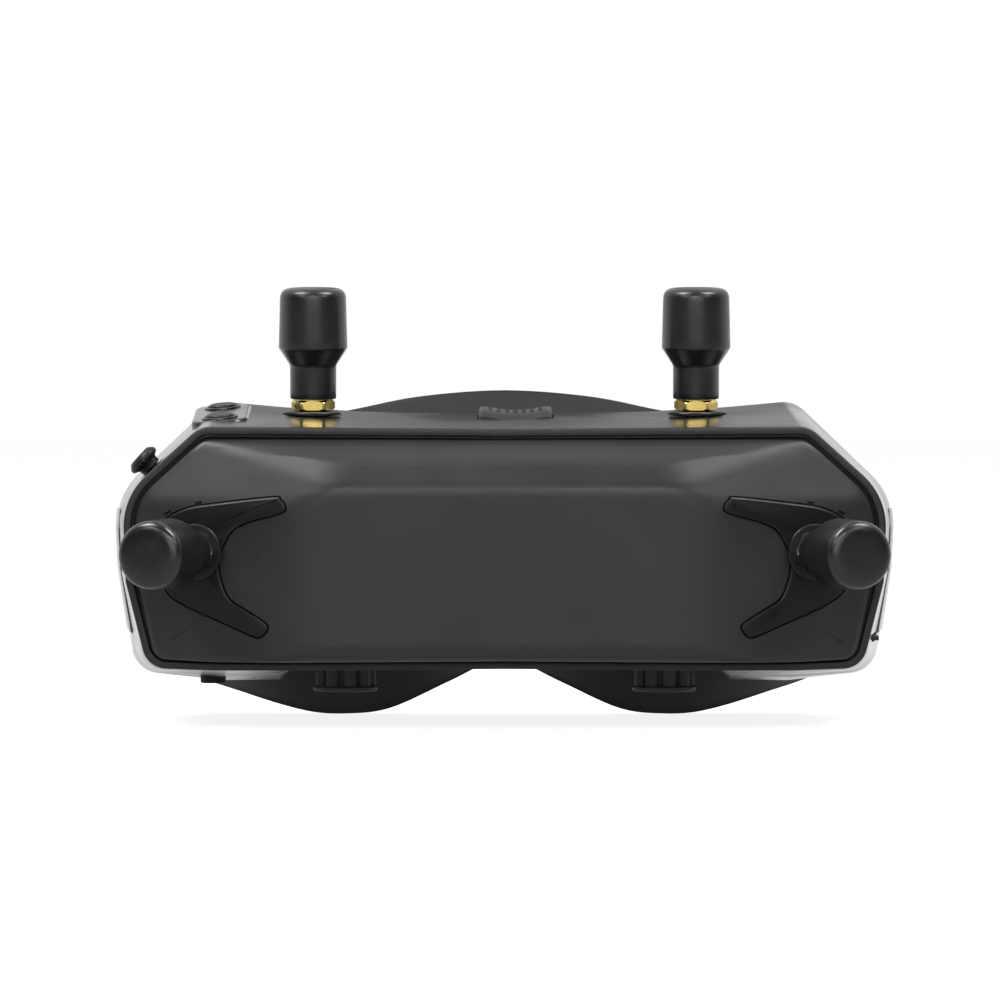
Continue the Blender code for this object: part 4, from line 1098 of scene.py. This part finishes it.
def soft_finish(name, colour, dusty, rough, cell_scale, depth, amount=0.3, sheen=0.1):
    """A rubber or a napped foam: a matt surface with a cell or pebble texture and some dust."""
    made = bpy.data.materials.new(name)
    made.use_nodes = True
    tree = made.node_tree
    shader = tree.nodes["Principled BSDF"]
    shader.inputs["Sheen Weight"].default_value = sheen
    shader.inputs["Sheen Roughness"].default_value = 0.5
    shader.inputs["Specular IOR Level"].default_value = 0.2
    pebble = group_node(tree, grain, Scale=cell_scale, Unevenness=0.8)
    settled_on = group_node(tree, dust, Amount=amount)
    shade = blended(tree, pebble.outputs["Mottle"], [c * 0.75 for c in colour], [c * 1.25 for c in colour])
    tree.links.new(blended(tree, settled_on.outputs["Dust"], shade, dusty), shader.inputs["Base Color"])
    level = node(tree, "ShaderNodeMapRange", {"Value": pebble.outputs["Mottle"], "From Min": 0.3,
                                              "From Max": 0.7, "To Min": rough[0], "To Max": rough[1]})
    tree.links.new(level.outputs["Result"], shader.inputs["Roughness"])
    bump = node(tree, "ShaderNodeBump", {"Height": pebble.outputs["Height"], "Strength": 0.5,
                                         "Distance": depth * MM})
    tree.links.new(bump.outputs["Normal"], shader.inputs["Normal"])
    return made


rubber = soft_finish("soft_rubber", (0.0085, 0.0085, 0.009), (0.03, 0.03, 0.03), (0.5, 0.62), 1800.0, 0.05,
                     0.12, 0.02)
dress(shroud, rubber, "goggles", "rubber", "face_shroud")


# ---------------------------------------------------------------- Face foam
# The pad that touches the face: a closed ring of soft foam covered with napped cloth and glued to the rim of
# the shroud. The cloth is stretched over the foam, so its faces crown and its edges are full.

FOAM_THICK = 7.0
FOAM_WIDTH = 11.0
FOAM_SWELL = 0.9
foam_inner = inset(inset(shroud_rim, FOAM_WIDTH / 2), FOAM_WIDTH / 2)
FOAM_SECTION = [               # outline, inset from it and height over the rim
    (shroud_rim, 1.0, 0.2), (shroud_rim, 0.95, FOAM_THICK * 0.4), (shroud_rim, 1.3, FOAM_THICK * 0.7),
    (shroud_rim, 3.2, FOAM_THICK - 0.6), (foam_inner, -2.8, FOAM_THICK - 0.6),
    (foam_inner, -0.8, FOAM_THICK * 0.6), (foam_inner, -0.6, 0.2),
]
foam = add("face_foam_pad", loft([wrapped(inset(line, reach), GAP + height)
                                  for line, reach, height in FOAM_SECTION]))


def plumped(pad, cell, pressure, most):
    """Blows a pad up a little with a cloth simulation; no point moves further than most, in mm."""
    skin = pad.modifiers.new("skin", "REMESH")
    skin.mode = "VOXEL"
    skin.voxel_size = cell * MM
    apply_modifiers(pad)
    before = [vertex.co.copy() for vertex in pad.data.vertices]
    blown = pad.modifiers.new("blown", "CLOTH")
    blown.settings.quality = 6
    blown.settings.use_pressure = True
    blown.settings.uniform_pressure_force = pressure
    blown.settings.effector_weights.gravity = 0
    blown.collision_settings.use_collision = False
    for frame_number in range(1, 21):
        bpy.context.scene.frame_set(frame_number)
    apply_modifiers(pad)
    bpy.context.scene.frame_set(1)
    for vertex, start in zip(pad.data.vertices, before):
        shift = vertex.co - start
        if shift.length > most * MM:
            vertex.co = start + shift.normalized() * most * MM
    soften = pad.modifiers.new("soften", "SUBSURF")
    soften.levels = soften.render_levels = 1
    apply_modifiers(pad, 180)


plumped(foam, 2.0, 4.0, FOAM_SWELL)
foam_low, foam_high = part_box("face_foam")
for vertex in foam.data.vertices:
    seat_depth = LIP_Y + rim_depth(vertex.co.x / MM) + GAP
    vertex.co.y = min(max(vertex.co.y, seat_depth * MM), foam_high.y)
    vertex.co.z = max(vertex.co.z, foam_low.z)
napped_foam = soft_finish("napped_foam", (0.02, 0.02, 0.0215), (0.1, 0.1, 0.1), (0.86, 0.97), 1300.0, 0.12,
                          0.15, 0.5)
dress(foam, napped_foam, "goggles", "foam", "face_foam")


# ---------------------------------------------------------------- Strap lugs
# Two side plates, screwed flush into recesses of the shell, whose rear ends carry a slot for the head strap.

for side, sign in (("left", -1), ("right", 1)):
    lug = add("strap_plate_" + side, lug_shape(sign))
    join(lug, "DIFFERENCE", block((sign * 79 - 8, 50, 20.5), (sign * 79 + 8, 55, 40.5)))
    bevel(lug, 0.25, 3, 40)
    dress(lug, gloss_black, "goggles", "gloss_black", "strap_lug_" + side)


# ---------------------------------------------------------------- Vent scoop and fan
# A low cowl over the fan at the top of the shell, closed by a perforated grille. The fan hangs in its own
# square housing under it.

pins, pins_in, pins_out = new_tree("grille_pins", [
    ("Columns", 6), ("Rows", 3), ("Pitch", 0.002), ("Pin Radius", 0.0006), ("Pin Length", 0.01)])
spans = {}
for label in ("Columns", "Rows"):
    between_pins = node(pins, "ShaderNodeMath", {0: pins_in.outputs[label], 1: -1.0}, operation="ADD")
    spans[label] = node(pins, "ShaderNodeMath", {0: between_pins.outputs[0], 1: pins_in.outputs["Pitch"]},
                        operation="MULTIPLY").outputs[0]
rows_of_pins = node(pins, "GeometryNodeMeshGrid", {
    "Size X": spans["Columns"], "Size Y": spans["Rows"], "Vertices X": pins_in.outputs["Columns"],
    "Vertices Y": pins_in.outputs["Rows"]})
pin = node(pins, "GeometryNodeMeshCylinder", {"Vertices": 6, "Radius": pins_in.outputs["Pin Radius"],
                                              "Depth": pins_in.outputs["Pin Length"]})
set_pins = node(pins, "GeometryNodeInstanceOnPoints", {"Points": rows_of_pins.outputs["Mesh"],
                                                       "Instance": pin.outputs["Mesh"]})
end_tree(pins, pins_in, pins_out, set_pins.outputs["Instances"])

COWL_HALF = [(-7.5, 60.4), (-7.42, 61.2), (-7.2, 61.5), (-6.6, 61.62), (-5.9, 61.6), (-4.6, 61.42),
             (-3.4, 61.2), (-1.8, 61.02), (0, 60.95)]
COWL_SECTIONS = [(30.0, 0.25), (30.2, 0.45), (31.0, 1.0), (32.0, 1.45), (34.0, 1.75), (37.0, 2.05),
                 (39.9, 2.3), (40.2, 2.1)]


def cowl_ring(depth, rise):
    """The cowl seen from the front: two bumps at its ends, with a shallow dish between them."""
    half = [(x, z + (rise if z > 60.5 else 0)) for x, z in COWL_HALF]
    return [at(VENT_X + x, depth, z) for x, z in half + [(-x, z) for x, z in reversed(half[:-1])]]


scoop = add("vent_cowl", loft([cowl_ring(d, rise) for d, rise in COWL_SECTIONS], capped=True), 40)
grille = grown("helper", pins, matte_black, Matrix.Translation(at(VENT_X, 36.2, 62.5)), Columns=7, Rows=4,
               Pitch=1.7 * MM, Pin_Radius=0.6 * MM, Pin_Length=9 * MM)
cut_grille = bmesh.new()
cut_grille.from_mesh(grille.data)
bpy.data.objects.remove(grille)
join(scoop, "DIFFERENCE", cut_grille)
dress(scoop, matte_black, "goggles", "matte_black", "vent_scoop")
repaint(matte_black, "fan_housing", "fan_rotor")


# ---------------------------------------------------------------- Optics
# Each eye has a lens barrel that slides in a carriage, and the carriage slides on two steel rods. The barrel
# has a rack for the focus wheel, a coated lens near its rear end, and a display in front of it.

BARREL_R = 14.2
TOOTH_MODULE = 0.5
PINION_TEETH = 14
PINION_R = PINION_TEETH * TOOTH_MODULE / 2
barrel_section = [
    (12.7, 39.6), (12.95, 39.9), (13.2, 40.0), (13.8, 40.0), (14.1, 39.85), (BARREL_R, 39.5),
    (BARREL_R, 13.3), (13.9, 13.0), (12.0, 13.0), (11.7, 13.3), (11.7, 33.6), (12.7, 33.6), (12.7, 37.6),
    (12.5, 37.8), (12.7, 38.0),
    (12.7, 38.4), (12.5, 38.6), (12.7, 38.8),
]
glass = bpy.data.materials.new("coated_glass")
glass.use_nodes = True
glass_shader = glass.node_tree.nodes["Principled BSDF"]
glass_shader.inputs["Transmission Weight"].default_value = 1.0
glass_shader.inputs["IOR"].default_value = 1.5
glass_shader.inputs["Specular Tint"].default_value = (0.72, 0.7, 1.0, 1)
smears = group_node(glass.node_tree, handling, Smudge_Scale=60.0)
clear = node(glass.node_tree, "ShaderNodeMapRange", {"Value": smears.outputs["Smudge"], "To Min": 0.01,
                                                     "To Max": 0.06})
glass.node_tree.links.new(clear.outputs["Result"], glass_shader.inputs["Roughness"])
tint = blended(glass.node_tree, smears.outputs["Smudge"], (0.93, 0.95, 1.0), (0.88, 0.9, 0.96))
glass.node_tree.links.new(tint, glass_shader.inputs["Base Color"])

board_green = plastic("circuit_board_lacquer", (0.008, 0.045, 0.02), (0.2, 0.16, 0.05), (0.25, 0.4),
                      1500.0, 0.02, 0.1, 0.4, 0.5, 0.3)
screen_black = plastic("display_glass", (0.004, 0.004, 0.006), (0.02, 0.02, 0.02), (0.06, 0.1), 800.0,
                       0.002, 0.04, 0.1)
for side, sign in (("left", -1), ("right", 1)):
    middle = eye_middles[side]
    eye_x = middle.x / MM
    place = frame_on(Vector((middle.x, LIP_Y * MM, middle.z)), (0, 1, 0))
    barrel = add("lens_tube_" + side, turned(barrel_section, place, 96))
    rack_x = sorted((eye_x - sign * (PINION_R + 2.6), eye_x - sign * (PINION_R + 0.45)))
    join(barrel, "UNION", block((rack_x[0], 26.4, 15), (rack_x[1], 36, 25)))
    for k in range(-2, 3):
        profile = [(-0.65, -0.95), (-0.62, -0.5), (-0.16, 0.38), (0.16, 0.38), (0.62, -0.5), (0.65, -0.95)]
        tooth_depth = PINION_DEPTH + k * math.pi * TOOTH_MODULE
        tooth = [(eye_x - sign * (PINION_R - x), tooth_depth + y) for y, x in profile]
        join(barrel, "UNION", loft([[at(x, d, z) for x, d in tooth] for z in (15, 19)], capped=True))
    dress(barrel, matte_black, "barrel_" + side, "matte_black", "lens_barrel_" + side)

    lens_face = [(12.25 * k / 24, 39.4 - 2.1 * (k / 24) ** 2.2) for k in range(25)]
    lens_back = [(12.25 * k / 24, 35.4 - 1.3 * (k / 24) ** 2) for k in range(24, -1, -1)]
    lens = add("eye_lens_" + side, turned(lens_face + [(12.4, 37.0), (12.4, 34.3)] + lens_back, place, 96))
    dress(lens, glass, "barrel_" + side, "lens_glass", "eyepiece_lens_" + side)

    board_low, board_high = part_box("display_board_" + side)
    front = board_low.y / MM - LIP_Y
    board = add("display_carrier_" + side, block((board_low.x / MM, front, board_low.z / MM),
                                                 (board_high.x / MM, front + 1.7, board_high.z / MM)))
    bevel(board, 0.2, 2)
    dress(board, board_green, "optics_" + side, "circuit_board", "display_board_" + side)
    screen = add("display_screen_" + side,
                 block((eye_x - 11, front + 1.75, 31), (eye_x + 11, front + 3.3, 44)))
    bevel(screen, 0.25, 3)
    dress(screen, screen_black, "optics_" + side, "circuit_board")
repaint(matte_black, "carriage_left", "carriage_right", "rod_bracket_left", "rod_bracket_right")
repaint(steel, "guide_rod_lower", "guide_rod_upper")


# ---------------------------------------------------------------- Focus knobs
# A rubber wheel under each eye, with a broad flange and nine fat lobes to grip. Its shaft goes up through
# the shell to a pinion on the rack of the barrel.

grip_rubber = soft_finish("grip_rubber", (0.045, 0.045, 0.047), (0.1, 0.1, 0.1), (0.45, 0.58), 2000.0,
                          0.04, 0.15, 0.02)
for side, sign in (("left", -1), ("right", 1)):
    eye_x = eye_middles[side].x / MM
    place = frame_on(Vector((eye_x, LIP_Y + PINION_DEPTH, 0)) * MM, (0, 0, 1))
    knob = add("focus_wheel_" + side, turned([
        (0, 22), (1.4, 22), (1.6, 21.8), (1.6, 10.95), (4.6, 10.95), (4.8, 10.8), (4.8, 7.2), (5.9, 7.1),
        (6.3, 6.98), (6.55, 6.7), (6.55, 6.3), (6.4, 6.02), (6.1, 5.9), (5.2, 5.9), (5.0, 6.1), (0, 6.1),
    ], place, 72))
    root, tip = PINION_R - 0.62, PINION_R + 0.38
    teeth = []
    for k in range(PINION_TEETH):
        for share, radius in ((-0.27, root), (-0.09, tip), (0.09, tip), (0.27, root)):
            angle = (k + 0.5 + share) * 2 * math.pi / PINION_TEETH + (math.pi if sign > 0 else 0)
            teeth.append((eye_x + radius * math.cos(angle), PINION_DEPTH + radius * math.sin(angle)))
    join(knob, "UNION", loft([[at(x, d, z) for x, d in teeth] for z in (15, 19)], capped=True))
    dress(knob, grip_rubber, "knob_" + side, "rubber", "focus_knob_" + side)
    grip = grown("focus_ribs_" + side, ribs, grip_rubber, place @ Matrix.Translation((0, 0, 9.0 * MM)),
                 Count=9, Radius=4.9 * MM, Height=3.9 * MM, Width=2.9 * MM, Depth=2.7 * MM)
    dress(grip, grip_rubber, "knob_" + side, "rubber")


# ---------------------------------------------------------------- Boards, memory card and power socket
# The main board and its finned heat sink lie behind the cover. A memory card pushes into a steel socket on
# one side, and a rubber plug covers the power socket underneath.

aluminium = metal("milled_aluminium", (0.6, 0.61, 0.63), (0.45, 0.46, 0.47), (0.3, 0.42), 0.5)
repaint(board_green, "main_board")
repaint(aluminium, "heat_sink")
repaint(steel, "card_socket", "power_jack")

card = add("memory_card_body", block((card_low.x / MM, card_front, CARD_Z - 0.5),
                                     (card_high.x / MM, card_back, CARD_Z + 0.32)))
join(card, "UNION", block((card_high.x / MM - 1.4, card_front + 0.6, CARD_Z + 0.2),
                          (card_high.x / MM - 0.5, card_back - 0.6, CARD_Z + 0.5)))
bevel(card, 0.12, 2)
dress(card, matte_black, "card", "matte_black", "memory_card")

plug = add("power_plug", turned([
    (0, 0.62), (1.5, 0.66), (2.0, 0.8), (2.3, 0.88), (2.5, 0.75), (2.6, 0.45), (2.6, -0.9), (1.7, -0.9),
    (1.7, -4.0), (1.5, -4.2), (0, -4.2)], plug_frame, 48))
dress(plug, rubber, "goggles", "rubber", "port_plug")
